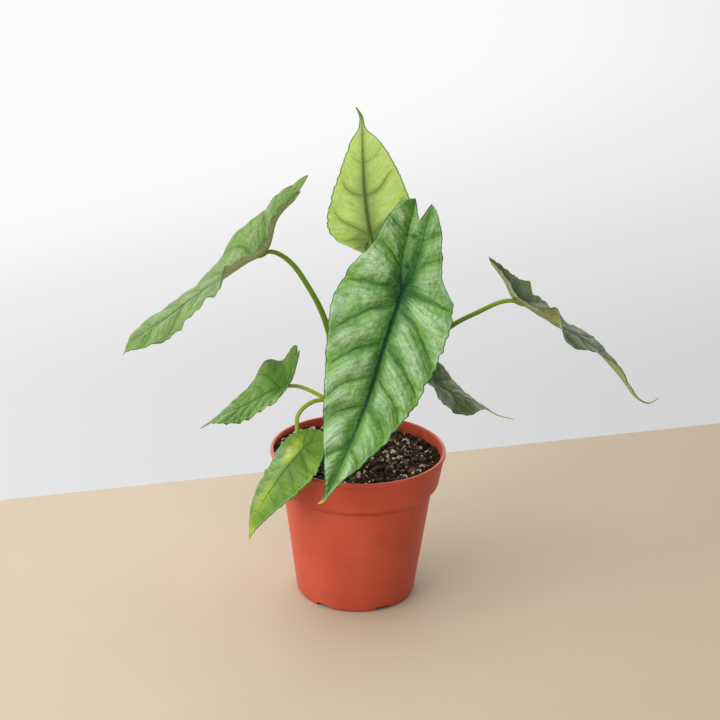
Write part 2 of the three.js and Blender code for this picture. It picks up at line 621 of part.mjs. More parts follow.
// Points of one half's row, from the cleft or midrib out to the margin
function halfRow(leaf, frame, row, side) {
  const { middle, ahead, left, right, curls } = frame.at(row.along);
  const [own, other] = side === 0 ? [left, right] : [right, left];
  const turn = side === 0 ? 1 : -1;
  const up = v3().crossVectors(ahead, own).multiplyScalar(turn).normalize();
  const flat = own.clone().sub(other).normalize();
  const { outer, inner, rib } = rowWidths(leaf, row, side);
  const step = outer / RIB_STEPS;
  const place = middle.clone();
  const trail = [];
  for (let k = 0; k <= RIB_STEPS; k += 1) {
    const across = k * step;
    const outside = Math.max(across + step / 2 - rib, 0);
    const curl = (THREE.MathUtils.degToRad(curls[side]) * outside) / leaf.widths[side];
    const direction = own.clone().multiplyScalar(Math.cos(curl)).addScaledVector(up, Math.sin(curl));
    direction.lerp(flat, Math.exp(-outside / FOLD_REACH)).normalize();
    const normal = v3().crossVectors(ahead, direction).multiplyScalar(turn).normalize();
    const wave = rippleAt(leaf, row, side, Math.max(across - rib, 0));
    const lift = wave + quiltAt(leaf, row, side, across, rib) + archAt(leaf, side, across, outer, inner);
    trail.push(place.clone().addScaledVector(normal, lift));
    place.addScaledVector(direction, step);
  }
  return BLADE_COLUMNS.map((share) => {
    const spot = ((inner + (outer - inner) * share) / outer) * RIB_STEPS;
    const k = Math.min(Math.floor(spot), RIB_STEPS - 1);
    return trail[k].clone().lerp(trail[k + 1], spot - k);
  });
}

// The rows of a leaf from the tip over the stalk's seat to the lobes' ends, with one on the cleft's notch
function leafRows(leaf, frame) {
  const [bladeRows, lobeRows] = leaf.rows;
  const { bladeLength, lobeLength } = frame;
  const common = { bladeLength, lobeLength };
  const rows = [];
  for (let k = 0; k <= bladeRows; k += 1) {
    const share = 1 - k / bladeRows;
    rows.push({ ...common, share, along: bladeLength * share, onBlade: true });
  }
  const notch = leaf.cleft[0][0];
  const notchRow = Math.max(Math.round(lobeRows * notch), 1);
  for (let k = 1; k <= lobeRows; k += 1) {
    const share = k <= notchRow ? (notch * k) / notchRow
      : notch + ((1 - notch) * (k - notchRow)) / (lobeRows - notchRow);
    rows.push({ ...common, share, along: -lobeLength * share, onBlade: false, split: k > notchRow });
  }
  return rows;
}

// The blade's middle surface: its points, and triangles that face up
function leafSurface(leaf, frame) {
  const rows = leafRows(leaf, frame);
  const points = [];
  const grid = rows.map((row, r) => {
    const ends = r === 0 || r === rows.length - 1;
    const halves = [0, 1].map((side) => halfRow(leaf, frame, row, side));
    const shared = !row.split;
    const first = points.length;
    return halves.map((half, side) => half.map((point, c) => {
      if (r === 0) {
        if (side === 0 && c === 0) points.push(point);
        return first;
      }
      if (ends && c > 0) return points.length - 1;
      if (shared && side === 1 && c === 0) return first;
      points.push(point);
      return points.length - 1;
    }));
  });
  const triangles = [];
  for (let r = 0; r + 1 < grid.length; r += 1) {
    for (const side of [0, 1]) {
      for (let c = 0; c + 1 < BLADE_COLUMNS.length; c += 1) {
        const [a, b] = [grid[r][side][c], grid[r][side][c + 1]];
        const [d, e] = [grid[r + 1][side][c], grid[r + 1][side][c + 1]];
        for (const [i, j, k] of [[a, d, e], [a, e, b]]) {
          if (i === j || j === k || i === k) continue;
          triangles.push(side === 0 ? [i, j, k] : [i, k, j]);
        }
      }
    }
  }
  return { points, triangles };
}

// A sheet's points moved to both sides along their normals, with a strip round its margin
function thickened({ points, triangles }, thickness) {
  const normals = points.map(() => v3());
  for (const [i, j, k] of triangles) {
    const normal = v3().crossVectors(points[j].clone().sub(points[i]), points[k].clone().sub(points[i]));
    for (const corner of [i, j, k]) normals[corner].add(normal);
  }
  normals.forEach((normal) => normal.normalize());
  const count = points.length;
  const moved = (sign) => points.map((p, i) => p.clone().addScaledVector(normals[i], (sign * thickness) / 2));
  const edges = new Set(triangles.flatMap(([i, j, k]) => [`${i},${j}`, `${j},${k}`, `${k},${i}`]));
  const faces = [];
  for (const [i, j, k] of triangles) {
    faces.push([i, j, k], [i + count, k + count, j + count]);
    for (const [from, to] of [[i, j], [j, k], [k, i]]) {
      if (!edges.has(`${to},${from}`)) faces.push([from, from + count, to], [to, from + count, to + count]);
    }
  }
  return solidFrom([...moved(1), ...moved(-1)], faces);
}

function largestPiece(solid) {
  const pieces = solid.decompose();
  return pieces.reduce((best, piece) => (piece.volume() > best.volume() ? piece : best));
}

const plant = new THREE.Group();
plant.name = "potted_alocasia";

let crown = crownSolid(0);
for (const [name, leaf] of Object.entries(LEAVES)) {
  const surface = leafSurface(leaf, new LeafFrame(leaf));
  const blade = thickened(surface, BLADE_THICKNESS);
  const seat = thickened(surface, BLADE_THICKNESS + 2 * SEAT_GAP);
  const [footRadius, topRadius] = leaf.stalkRadii;
  const stalk = largestPiece(stalkSolid(leaf.stalk, footRadius, topRadius, 0).subtract(seat));
  crown = crown.subtract(stalkSolid(leaf.stalk, footRadius, topRadius, SEAT_GAP));
  plant.add(namedMesh(`blade_${name}`, blade, BLADE_COLOR, 0.5));
  plant.add(namedMesh(`stalk_${name}`, stalk, STALK_COLOR, 0.5));
}
plant.add(namedMesh("crown", crown, CROWN_COLOR, 0.6));
plant.add(namedMesh("soil", makeSoil(crownSolid(SEAT_GAP)), SOIL_COLOR, 0.95));
plant.add(namedMesh("pot", makePot(), POT_COLOR, 0.5));

export default plant;
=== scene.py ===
# A potted alocasia in metres, with +Z up. The origin is the middle of the pot's flat bottom, +X points to
# the viewer's right and -Y towards the viewer. The leaf tables below are in millimetres and degrees.
import math

import bpy
import numpy as np
from mathutils import Matrix, Vector, noise


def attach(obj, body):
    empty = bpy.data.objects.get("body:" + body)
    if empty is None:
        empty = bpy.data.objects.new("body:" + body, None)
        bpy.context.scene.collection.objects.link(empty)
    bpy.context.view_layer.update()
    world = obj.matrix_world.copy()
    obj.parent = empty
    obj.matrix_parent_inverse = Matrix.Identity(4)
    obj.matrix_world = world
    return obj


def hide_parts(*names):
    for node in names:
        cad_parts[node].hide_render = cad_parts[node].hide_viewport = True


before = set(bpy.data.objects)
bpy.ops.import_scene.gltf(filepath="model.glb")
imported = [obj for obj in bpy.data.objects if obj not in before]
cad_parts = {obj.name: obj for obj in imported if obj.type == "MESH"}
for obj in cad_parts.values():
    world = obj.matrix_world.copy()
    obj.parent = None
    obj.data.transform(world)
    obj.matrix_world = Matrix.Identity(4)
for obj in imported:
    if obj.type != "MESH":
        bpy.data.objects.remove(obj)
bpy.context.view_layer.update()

MM = 0.001

# The camera stands at the photo's angle
CAMERA_PLACE = (0, -1.252, 0.655)
CAMERA_PITCH_DEG = 21.2
CAMERA_ROLL_DEG = 1.2
CAMERA_LENS_MM = 100
CAMERA_SENSOR_MM = 36

# Both lamps aim at one spot in metres. The floor's far edge is in millimetres
LIGHT_TARGET = (0, 0, 0.15)
FLOOR_REACH = 3000
FLOOR_EDGE = 211
FLOOR_EDGE_SLOPE = 0.314

# The pot, as in the solid model
RIM_RADIUS = 60
POT_HEIGHT = 105
POT_WALL = 1.4
LIP_HEIGHT = 3
LIP_OVERHANG = 0.9
COLLAR_RADIUS = 55.9
COLLAR_FOOT = 83
SHOULDER_RADIUS = 51.3
SHOULDER_HEIGHT = 77.5
LEDGE_HEIGHT = 78.9
BASE_RADIUS = 40.6
BASE_ROUND = 2.6
FLOOR_THICKNESS = 1.8
POT_SIDES = 192
CORNER_STEPS = 5
DRAIN_COUNT = 6
DRAIN_WIDTH = 12
DRAIN_HEIGHT = 3
DRAIN_DEPTH = 6
FIRST_DRAIN_DEG = -62

# The soil and the crown, as in the solid model
SEAT_GAP = 0.3
SOIL_HEIGHT = 98
SOIL_FALL_PER_MM = 0.045
SOIL_PILE = 3.8
CROWN_PLACE = (-4.5, 1)
CROWN_RADIUS = 10.5
CROWN_FOOT = 72
CROWN_TOP = 103
CROWN_SIDES = 72
CROWN_RINGS = 44

# The finer form of the soil, and what lies spread on it
SOIL_SPOKES = 260
SOIL_RINGS = 92
SOIL_EDGE_DROP = 1.2
LUMP_LEVELS = 2
CHIP_COUNT = 420
SPREAD_PERLITE_COUNT = 150
SPREAD_PERLITE_SIZE = 0.8
TWIG_COUNT = 60
TWIG_SIDES = 7
TWIG_TAPER = [0.55, 0.9, 1, 1, 0.95, 0.85, 0.5]

# Clusters of perlite as [x, y, spread, count, size]
PERLITE_CLUSTERS = [
    [31, 29, 3.5, 9, 1.15], [34, 18, 3.5, 8, 1.1], [20.5, 7, 2.2, 5, 1.4], [21, -2, 2, 4, 1.5],
    [43.5, -16, 1.2, 2, 1.1], [0, -31, 2.2, 6, 1.2], [31, -28, 2.5, 3, 1], [-50, 10, 4.5, 26, 0.75],
    [-43, 29, 5, 26, 0.85], [-30, 40, 5, 16, 0.85], [-48, -6, 4, 12, 0.75],
]

# Large bits of bark as [x, y, length, width, thickness]
BARK_PIECES = [
    [21, -15, 15, 5.5, 2], [11, -17, 10, 4.5, 1.8], [33, 4, 9, 4, 1.6], [-40, 20, 9, 3.5, 1.5],
    [30, -22, 8, 3.5, 1.5],
]

# The leaves, as in the solid model
RIB_STEPS = 48
SPAN_DIVISIONS = 60
FOLD_REACH = 1.5
VEIN_STRIP = 0.13
QUILT_DEPTH = 2.0
QUILT_REACH = 0.13
SECOND_DEPTH = 0.3
FULL_RELIEF_WIDTH = 45
TINY = 1e-6

# Waves of the margin as [size, how often, how far shifted], and the phase between a leaf's two halves
SIDE_PHASE = 1.1
RIPPLE_REACH_POWER = 1.6
RIPPLES = [[0.7, 1, 1], [0.5, 1.63, 1.7], [0.3, 2.71, 2.3]]
JAGS = [[0.012, 1.7, 2], [0.008, 3.1, 1]]
TOOTH_LENGTH = 3.8
TOOTH_RISE = 0.7
TOOTHED_SHARE = 0.3

# The finer form of the leaves
BLADE_THICKNESS = 0.5
MARGIN_THICKNESS = 0.16
MARGIN_TAPER = 3
RIB_RISE = 0.95
RIB_SPREAD = 1.15
VEIN_RISE = 0.35
VEIN_SPREAD = 0.7
GROOVE_DEPTH = 0.06
GROOVE_SPREAD = 0.8
STALK_SIDES = 24
STALK_STEPS = 90
STALK_TAPER_POWER = 0.7
STALK_RUN = 9

# Side veins as [start as a share of the length, strength], for the blade and for a lobe
BLADE_VEINS = [[0.07, 1], [0.25, 1], [0.4, 0.5], [0.53, 0.95], [0.73, 0.7], [0.87, 0.4]]
LOBE_VEINS = [[0.25, 0.8], [0.6, 0.6]]
VEIN_SLOPE = 0.42
VEIN_BEND = 1.25
LOBE_VEIN_SLOPE = 0.85
SECOND_VEINS = 5.0
SEAT_VEIN = 0.9
BEYOND_LOBE_VEINS = 0.4
BEYOND_BLADE_VEINS = 0.16

# How far side veins wander, how long and wide a wander is, and where it sets in beside the midrib
WANDER = 3.2
WANDER_LENGTH = 17
WANDER_WIDTH = 14
WANDER_START = 12

# Half-widths of the lines drawn on a leaf, the midrib's as a share of its own width, and the heart's radius
SIDE_HALO = 4.6
SIDE_CORE = 0.95
SECOND_HALO = 3.0
NET_CORE = 0.16
RIB_HALO = 6.0
HEART_RADIUS = 20.0
WEAK_ON_LOBE = 0.35

# What a blade's materials read at each point
BLADE_ATTRIBUTES = {
    "leaf_place": ("across", "along", "margin"),
    "leaf_vein": ("phase", "gap", "rib"),
    "leaf_tone": ("share", "strength", "bulge"),
}

# Share of the half-width at shares of the length, from the stalk's seat to the tip
TAPERED = [
    [0, 0.93], [0.08, 1], [0.18, 0.985], [0.3, 0.92], [0.45, 0.79], [0.6, 0.62],
    [0.75, 0.42], [0.86, 0.24], [0.92, 0.12], [0.96, 0.05], [1, 0.015],
]
FULL_TAPERED = [
    [0, 0.93], [0.08, 1], [0.18, 0.985], [0.3, 0.93], [0.45, 0.81], [0.6, 0.67],
    [0.75, 0.49], [0.86, 0.31], [0.93, 0.15], [0.965, 0.07], [1, 0.015],
]
POINTED = [
    [0, 0.93], [0.08, 1], [0.18, 0.985], [0.3, 0.92], [0.45, 0.8], [0.6, 0.62],
    [0.74, 0.42], [0.84, 0.23], [0.9, 0.12], [0.94, 0.06], [1, 0.02],
]
SLIM_POINTED = [
    [0, 0.89], [0.08, 0.945], [0.18, 0.915], [0.3, 0.84], [0.45, 0.72], [0.6, 0.55],
    [0.74, 0.355], [0.84, 0.19], [0.9, 0.1], [0.94, 0.05], [1, 0.017],
]
BROAD = [
    [0, 0.8], [0.08, 0.97], [0.15, 1], [0.26, 0.96], [0.4, 0.85], [0.54, 0.72],
    [0.68, 0.54], [0.76, 0.39], [0.805, 0.27], [0.84, 0.13], [0.87, 0.07], [0.91, 0.05], [1, 0.02],
]
NARROWED = [
    [0, 0.8], [0.08, 0.95], [0.15, 0.98], [0.26, 0.9], [0.4, 0.75], [0.54, 0.58],
    [0.68, 0.4], [0.77, 0.27], [0.82, 0.16], [0.855, 0.08], [0.91, 0.05], [1, 0.02],
]
TAILED = [
    [0, 0.93], [0.1, 1], [0.2, 0.98], [0.36, 0.87], [0.5, 0.72], [0.62, 0.52],
    [0.72, 0.35], [0.8, 0.2], [0.86, 0.1], [0.91, 0.065], [1, 0.045],
]
SLIM_TAILED = [
    [0, 0.93], [0.1, 1], [0.2, 0.95], [0.36, 0.76], [0.5, 0.58], [0.62, 0.43],
    [0.72, 0.3], [0.8, 0.18], [0.86, 0.1], [0.91, 0.065], [1, 0.045],
]
BELLIED = [
    [0, 0.93], [0.08, 1], [0.18, 0.99], [0.3, 0.94], [0.45, 0.85], [0.6, 0.72],
    [0.72, 0.53], [0.82, 0.28], [0.87, 0.13], [0.92, 0.08], [1, 0.045],
]
SLENDER = [
    [0, 0.93], [0.08, 1], [0.18, 0.985], [0.3, 0.9], [0.45, 0.74], [0.6, 0.54],
    [0.72, 0.34], [0.82, 0.15], [0.87, 0.09], [0.92, 0.07], [1, 0.045],
]
LONG_TAILED = [
    [0, 0.93], [0.1, 1], [0.25, 0.96], [0.4, 0.8], [0.53, 0.55], [0.63, 0.27],
    [0.69, 0.13], [0.8, 0.09], [1, 0.05],
]
BLUNT_TAILED = [
    [0, 0.93], [0.1, 1], [0.25, 0.98], [0.4, 0.9], [0.53, 0.74], [0.62, 0.42],
    [0.69, 0.15], [0.8, 0.09], [1, 0.05],
]

# Share of the half-width at shares of the way from the stalk's seat to a lobe's end, and the cleft's
LONG_LOBE = [
    [0, 0.93], [0.12, 0.84], [0.3, 0.72], [0.5, 0.59], [0.7, 0.45], [0.87, 0.31], [0.95, 0.22], [1, 0.13],
]
LEFT_DENTED_LOBE = [
    [0, 0.93], [0.1, 0.9], [0.2, 0.74], [0.3, 0.64], [0.45, 0.57], [0.6, 0.52], [0.75, 0.46],
    [0.87, 0.37], [0.95, 0.28], [1, 0.13],
]
RIGHT_DENTED_LOBE = [
    [0, 0.89], [0.12, 0.84], [0.22, 0.76], [0.36, 0.65], [0.5, 0.575], [0.7, 0.52],
    [0.87, 0.42], [0.95, 0.34], [1, 0.14],
]
FINGER_LOBE = [
    [0, 0.93], [0.12, 0.84], [0.3, 0.7], [0.5, 0.54], [0.7, 0.42], [0.87, 0.33], [0.95, 0.29], [1, 0.25],
]
SLIM_FINGER_LOBE = [
    [0, 0.93], [0.12, 0.84], [0.3, 0.67], [0.5, 0.5], [0.7, 0.38], [0.87, 0.32], [0.95, 0.29], [1, 0.25],
]
THIN_LOBE = [
    [0, 0.93], [0.12, 0.8], [0.3, 0.64], [0.5, 0.49], [0.7, 0.35], [0.87, 0.22], [0.95, 0.15], [1, 0.1],
]
ROUND_LOBE = [[0, 0.93], [0.3, 0.8], [0.55, 0.66], [0.8, 0.48], [0.93, 0.32], [1, 0.12]]
SHORT_LOBE = [[0, 0.8], [0.14, 0.74], [0.35, 0.62], [0.57, 0.5], [0.83, 0.3], [1, 0.1]]
LONG_CLEFT = [[0.78, 0], [0.86, 0.05], [0.94, 0.09], [1, 0.13]]
OPEN_CLEFT = [[0.64, 0], [0.76, 0.05], [0.88, 0.14], [1, 0.25]]
SHORT_CLEFT = [[0.8, 0], [0.9, 0.02], [1, 0.05]]
CLOSED_CLEFT = [[0.9, 0], [1, 0.02]]

# The leaves. A station is [x, y, z, heading and rise of the left half, heading and rise of the right half,
# curl of the left half, curl of the right half], and left is seen from above with the tip ahead. The
# stations run from the lobes' ends over the stalk's seat to the tip. Widths are half-widths.
LEAVES = {
    "front": {
        "ripple_depth": 1.3, "ripples": 9, "ripple_phase": 0.6, "teeth": 0.22,
        "widths": [41, 45], "seat_station": 1,
        "outlines": [POINTED, SLIM_POINTED], "lobes": [LEFT_DENTED_LOBE, RIGHT_DENTED_LOBE], "arch": 3,
        "cleft": LONG_CLEFT, "rows": [300, 100, 34], "liveliness": [1, 0.4], "relief": 1.6,
        "stations": [
            [40, 17, 276, -35, -22, 196, 8, 0, 0],
            [27, -11, 223.5, -25, -16, 170, 8.5, 8, -6],
            [16, -30, 192, -26, -16, 169, 11.5, 6, -6],
            [7, -45, 163, -28, -13, 168.5, 12, 6, -6],
            [-4, -60, 137, -30, -11, 171, 7.5, 6, -6],
            [-14, -71, 116, -28, -8, 173, 3.5, 6, -6],
            [-22, -78, 101.5, -18, -10, 174.5, 1.5, 0, -6],
            [-25, -79, 99.5, -18, -10, 174.5, 1.5, 0, -6],
        ],
        "stalk": [[-4, 1, 94], [-3.5, 1.5, 104], [3, 8, 140], [14, 12, 185], [23, 5, 214], [27, -11, 223.5]],
        "stalk_radii": [2.1, 1.4],
    },
    "top": {
        "ripple_depth": 0.9, "ripples": 8, "ripple_phase": 2, "teeth": 0.9,
        "widths": [31, 28], "seat_station": 1,
        "outlines": [BROAD, NARROWED], "lobes": [SHORT_LOBE, SHORT_LOBE],
        "cleft": SHORT_CLEFT, "rows": [260, 60, 28], "relief": 0.4, "liveliness": [0.35, 0.8],
        "veins": [[0.04, 1], [0.35, 1], [0.61, 0.5], [0.8, 0.2]], "vein_bend": 1.3, "vein_slope": 1.6,
        "stations": [
            [6.5, 35.5, 232, 5, 5, 175, 5, 0, 0],
            [5.3, 32.9, 243.6, 5, 7, 180, -3, 6, -2],
            [0.5, 17, 282, 4, 8, 185, -6, 6, -4],
            [-1, 6, 308, 2, 3, 187, -6, 4, 0],
            [-2, 0, 330, -5, -4, 188, -4, 0, -2],
            [-2.6, -1, 337, -3, 0, 186, 0, 0, 0],
            [-6, -2, 343.5, -3, 0, 185, 0, 0, 0],
        ],
        "stalk": [
            [-3.5, 7.5, 94], [-4, 8, 105], [-1, 13, 150], [5, 19, 200], [8, 23, 222], [7.2, 28, 234],
            [5.3, 32.9, 243.6],
        ],
        "stalk_radii": [2, 1.3],
    },
    "left": {
        "ripple_depth": 1.3, "ripples": 8, "ripple_phase": 1, "teeth": 0.55,
        "widths": [36, 37], "seat_station": 2,
        "outlines": [FULL_TAPERED, TAPERED], "lobes": [FINGER_LOBE, SLIM_FINGER_LOBE],
        "cleft": OPEN_CLEFT, "rows": [300, 100, 30], "liveliness": [0.9, 0.25], "relief": 0.7,
        "stations": [
            [-37.5, 4, 289, -112, 10, 85, 50, 0, 0],
            [-56.5, 9, 267, -92, 25, 92, 38, 0, 0],
            [-64, 9, 242.5, -90, 27, 93, 33, -3, 4],
            [-77, 8, 234, -92, 23, 92, 24, -6, 2],
            [-85, 7, 228.5, -96, 24, 95, 18, -6, 2],
            [-93, 5, 223, -90, 10, 94, 6, -5, 1],
            [-110.5, 3, 211, -88, -4, 96, -7, 0, 1],
            [-130, 1, 196, -82, -19, 99, -4, -7, 1],
            [-150, -4, 182.5, -84, -18, 104, 2, -6, 3],
            [-160, 3, 168, -86, -5, 100, 4, 0, 0],
        ],
        "stalk": [
            [-9, 4.5, 94], [-9, 4.5, 110], [-11.5, 4.5, 142], [-19, 5, 178], [-26, 7, 200],
            [-35.5, 8, 218], [-47, 9, 234], [-57, 9, 241], [-64, 9, 242.5],
        ],
        "stalk_radii": [2.5, 1.5],
    },
    "right": {
        "ripple_depth": 1.1, "ripples": 9, "ripple_phase": 2.4, "teeth": 0.6,
        "widths": [27, 25], "seat_station": 2,
        "outlines": [TAILED, SLIM_TAILED], "lobes": [THIN_LOBE, THIN_LOBE],
        "cleft": LONG_CLEFT, "rows": [340, 80, 26], "liveliness": [0.7, 0.35], "relief": 0.7,
        "stations": [
            [84, 14, 239.5, 88, 16, -90, 30, 0, 0],
            [95.5, 12, 225, 84, 16, -92, 30, 0, 0],
            [103, 10, 211.5, 84, 18, -94, 28, 0, 0],
            [112, 9, 206.5, 87, 18, -95, 25, 0, -3],
            [118, 7, 203, 92, 9, -95, 27, 0, -3],
            [125, 5, 199.5, 89, 5, -96, 40, 0, -3],
            [131, 5, 195.5, 86, 2, -94, 48, 0, -3],
            [137, 3, 193, 87, -8, -95, -5, 0, 0],
            [147, 1, 188, 84, -5, -94, -7, 0, 0],
            [160.5, -1, 178, 86, 2, -97, 21, 0, -5],
            [174, -4, 164, 78, 4, -90, 47, 0, 0],
            [187, -5, 148, 77, 5, -90, 49, 0, 0],
            [195, -5, 144.5, 84, 2, -90, 40, 0, 0],
            [201.5, -5, 148.5, 84, 2, -90, 40, 0, 0],
        ],
        "stalk": [
            [1.5, 0.5, 94], [2, 0.5, 104], [12, 3, 136], [35, 6, 169], [62, 8, 193], [78, 10, 201.5],
            [93.5, 10, 209.5], [103, 10, 211.5],
        ],
        "stalk_radii": [2.1, 1.4],
    },
    "small_left": {
        "ripple_depth": 0.9, "ripples": 7, "ripple_phase": 1, "teeth": 0.9,
        "widths": [22.5, 24.5], "seat_station": 1,
        "outlines": [BELLIED, SLENDER], "lobes": [LONG_LOBE, LONG_LOBE],
        "cleft": LONG_CLEFT, "rows": [200, 70, 24], "liveliness": [0.8, 0.12], "relief": 0.5,
        "stations": [
            [-41.5, -2, 178, -83, 12, 114, 30, 5, 0],
            [-49, -8, 153.5, -98, -4, 103, 25, 8, 2],
            [-60, -12, 150, -100, -15, 102, 34, 6, 6],
            [-73, -16, 143, -100, -18, 92, 18, 0, 3],
            [-90, -24, 137.5, -100, -8, 92, 4, 0, 3],
            [-105.5, -30, 129.5, -96, 4, 88, 0, 0, 0],
        ],
        "stalk": [
            [-6.5, -5, 94], [-7, -5.5, 108], [-12, -8, 129], [-21, -9.5, 143.5], [-28, -10, 148],
            [-35, -10, 151.5], [-42, -9, 153.5], [-49, -8, 153.5],
        ],
        "stalk_radii": [1.7, 1.2],
    },
    "over_rim": {
        "ripple_depth": 0.9, "ripples": 7, "ripple_phase": 3, "teeth": 0.8,
        "widths": [22, 26], "seat_station": 1,
        "outlines": [POINTED, POINTED], "lobes": [ROUND_LOBE, ROUND_LOBE],
        "cleft": CLOSED_CLEFT, "rows": [200, 60, 26], "relief": 0.4, "liveliness": [0.8, 0.7],
        "stations": [
            [-30, -25, 129, -28, 0, 165, -15, 4, -6],
            [-35.5, -39, 122, -52, -7, 138, -13, 6, -10],
            [-45.5, -52, 114, -42, -14, 122, -8, 3, -15],
            [-56, -55, 99, -40, -12, 117, -1, 4, -14],
            [-64, -59, 86, -40, -8, 116, 2, 2, -10],
            [-71, -64, 64.5, -42, -2, 128, -3, 0, -5],
        ],
        "stalk": [
            [-11, -1, 94], [-11.5, -1, 108], [-13, -2, 132], [-19, -4, 141], [-29.5, -7, 142],
            [-37, -12, 139], [-41, -15, 134], [-41.5, -16.5, 128.7], [-40, -19.5, 118.5],
            [-37.5, -29, 112.5], [-35.5, -39, 122],
        ],
        "stalk_radii": [1.7, 1.3],
    },
    "small_right": {
        "ripple_depth": 0.9, "ripples": 6, "ripple_phase": 0.3, "teeth": 0.6,
        "widths": [20, 21], "seat_station": 1,
        "outlines": [LONG_TAILED, BLUNT_TAILED], "lobes": [LONG_LOBE, LONG_LOBE],
        "cleft": LONG_CLEFT, "rows": [200, 70, 22], "liveliness": [0.3, 0.8], "relief": 0.4,
        "stations": [
            [34, 32, 164, 77, 17, -102, 22, 3, 3],
            [48.5, 23, 148, 73, 18, -94, 10, 6, 6],
            [57, 22, 141.5, 79, 12, -92, -6, 0, 0],
            [71, 20, 136, 87, -3, -89, -18, -5, -7],
            [85, 16, 131, 93, -13, -83, 4, -4, 3],
            [95.5, 14, 125.5, 97, -14, -85, 5, 0, 0],
            [106, 12, 123.5, 100, -15, -86, 5, 0, 0],
        ],
        "stalk": [[1, 5.5, 94], [2, 6, 104], [14, 10, 128], [30, 16, 142], [42, 21, 146.5], [48.5, 23, 148]],
        "stalk_radii": [1.7, 1.2],
    },
}

# Colours of a blade's two faces, each as linear red, green and blue, and how strongly its marks show
# The silver colours are partly the leaf's own silvery tone and partly a painted sheen in place of light
# glancing off the blade
UPPER = {
    "green": (0.07, 0.21, 0.02), "fresh": (0.16, 0.38, 0.025), "silver_and_sheen": (0.36, 0.55, 0.27),
    "vein": (0.018, 0.08, 0.02), "rib": (0.006, 0.03, 0.014), "rim": (0.22, 0.42, 0.16),
    "margin": (0.012, 0.07, 0.025), "tip": (0.6, 0.47, 0.08), "tip_start": 0.95,
    "silver_sheen_share": 0.8, "fresh_share": 0.8, "fine": 1.0, "halo": 0.72, "core": 0.55, "sunny": 0.0,
    "rib_width": 2.1, "through": 0.14, "tint": (1.45, 1.4, 1.15), "rough": 0.36, "coat": 0.5,
    "deep": (0.03, 0.13, 0.012), "rib_tip": (0.05, 0.13, 0.07), "rim_share": 0.4, "edge_share": 0.3,
    "plain_corner": 0.0, "feathers": 7.0, "lobe_rib": 0.0,
}
UNDER = {
    **UPPER,
    "green": (0.34, 0.46, 0.13), "fresh": (0.42, 0.54, 0.15), "silver_and_sheen": (0.45, 0.55, 0.24),
    "vein": (0.14, 0.24, 0.05), "rib": (0.24, 0.34, 0.08), "rim": (0.34, 0.44, 0.14),
    "margin": (0.12, 0.2, 0.04), "deep": (0.14, 0.24, 0.05), "rib_tip": (0.24, 0.34, 0.08),
    "silver_sheen_share": 0.3, "fresh_share": 0.5, "fine": 0.3, "halo": 0.12, "core": 0.5, "rib_width": 1.2,
    "through": 0.16, "rough": 0.5, "coat": 0.1, "rim_share": 0.3, "edge_share": 0.25,
}
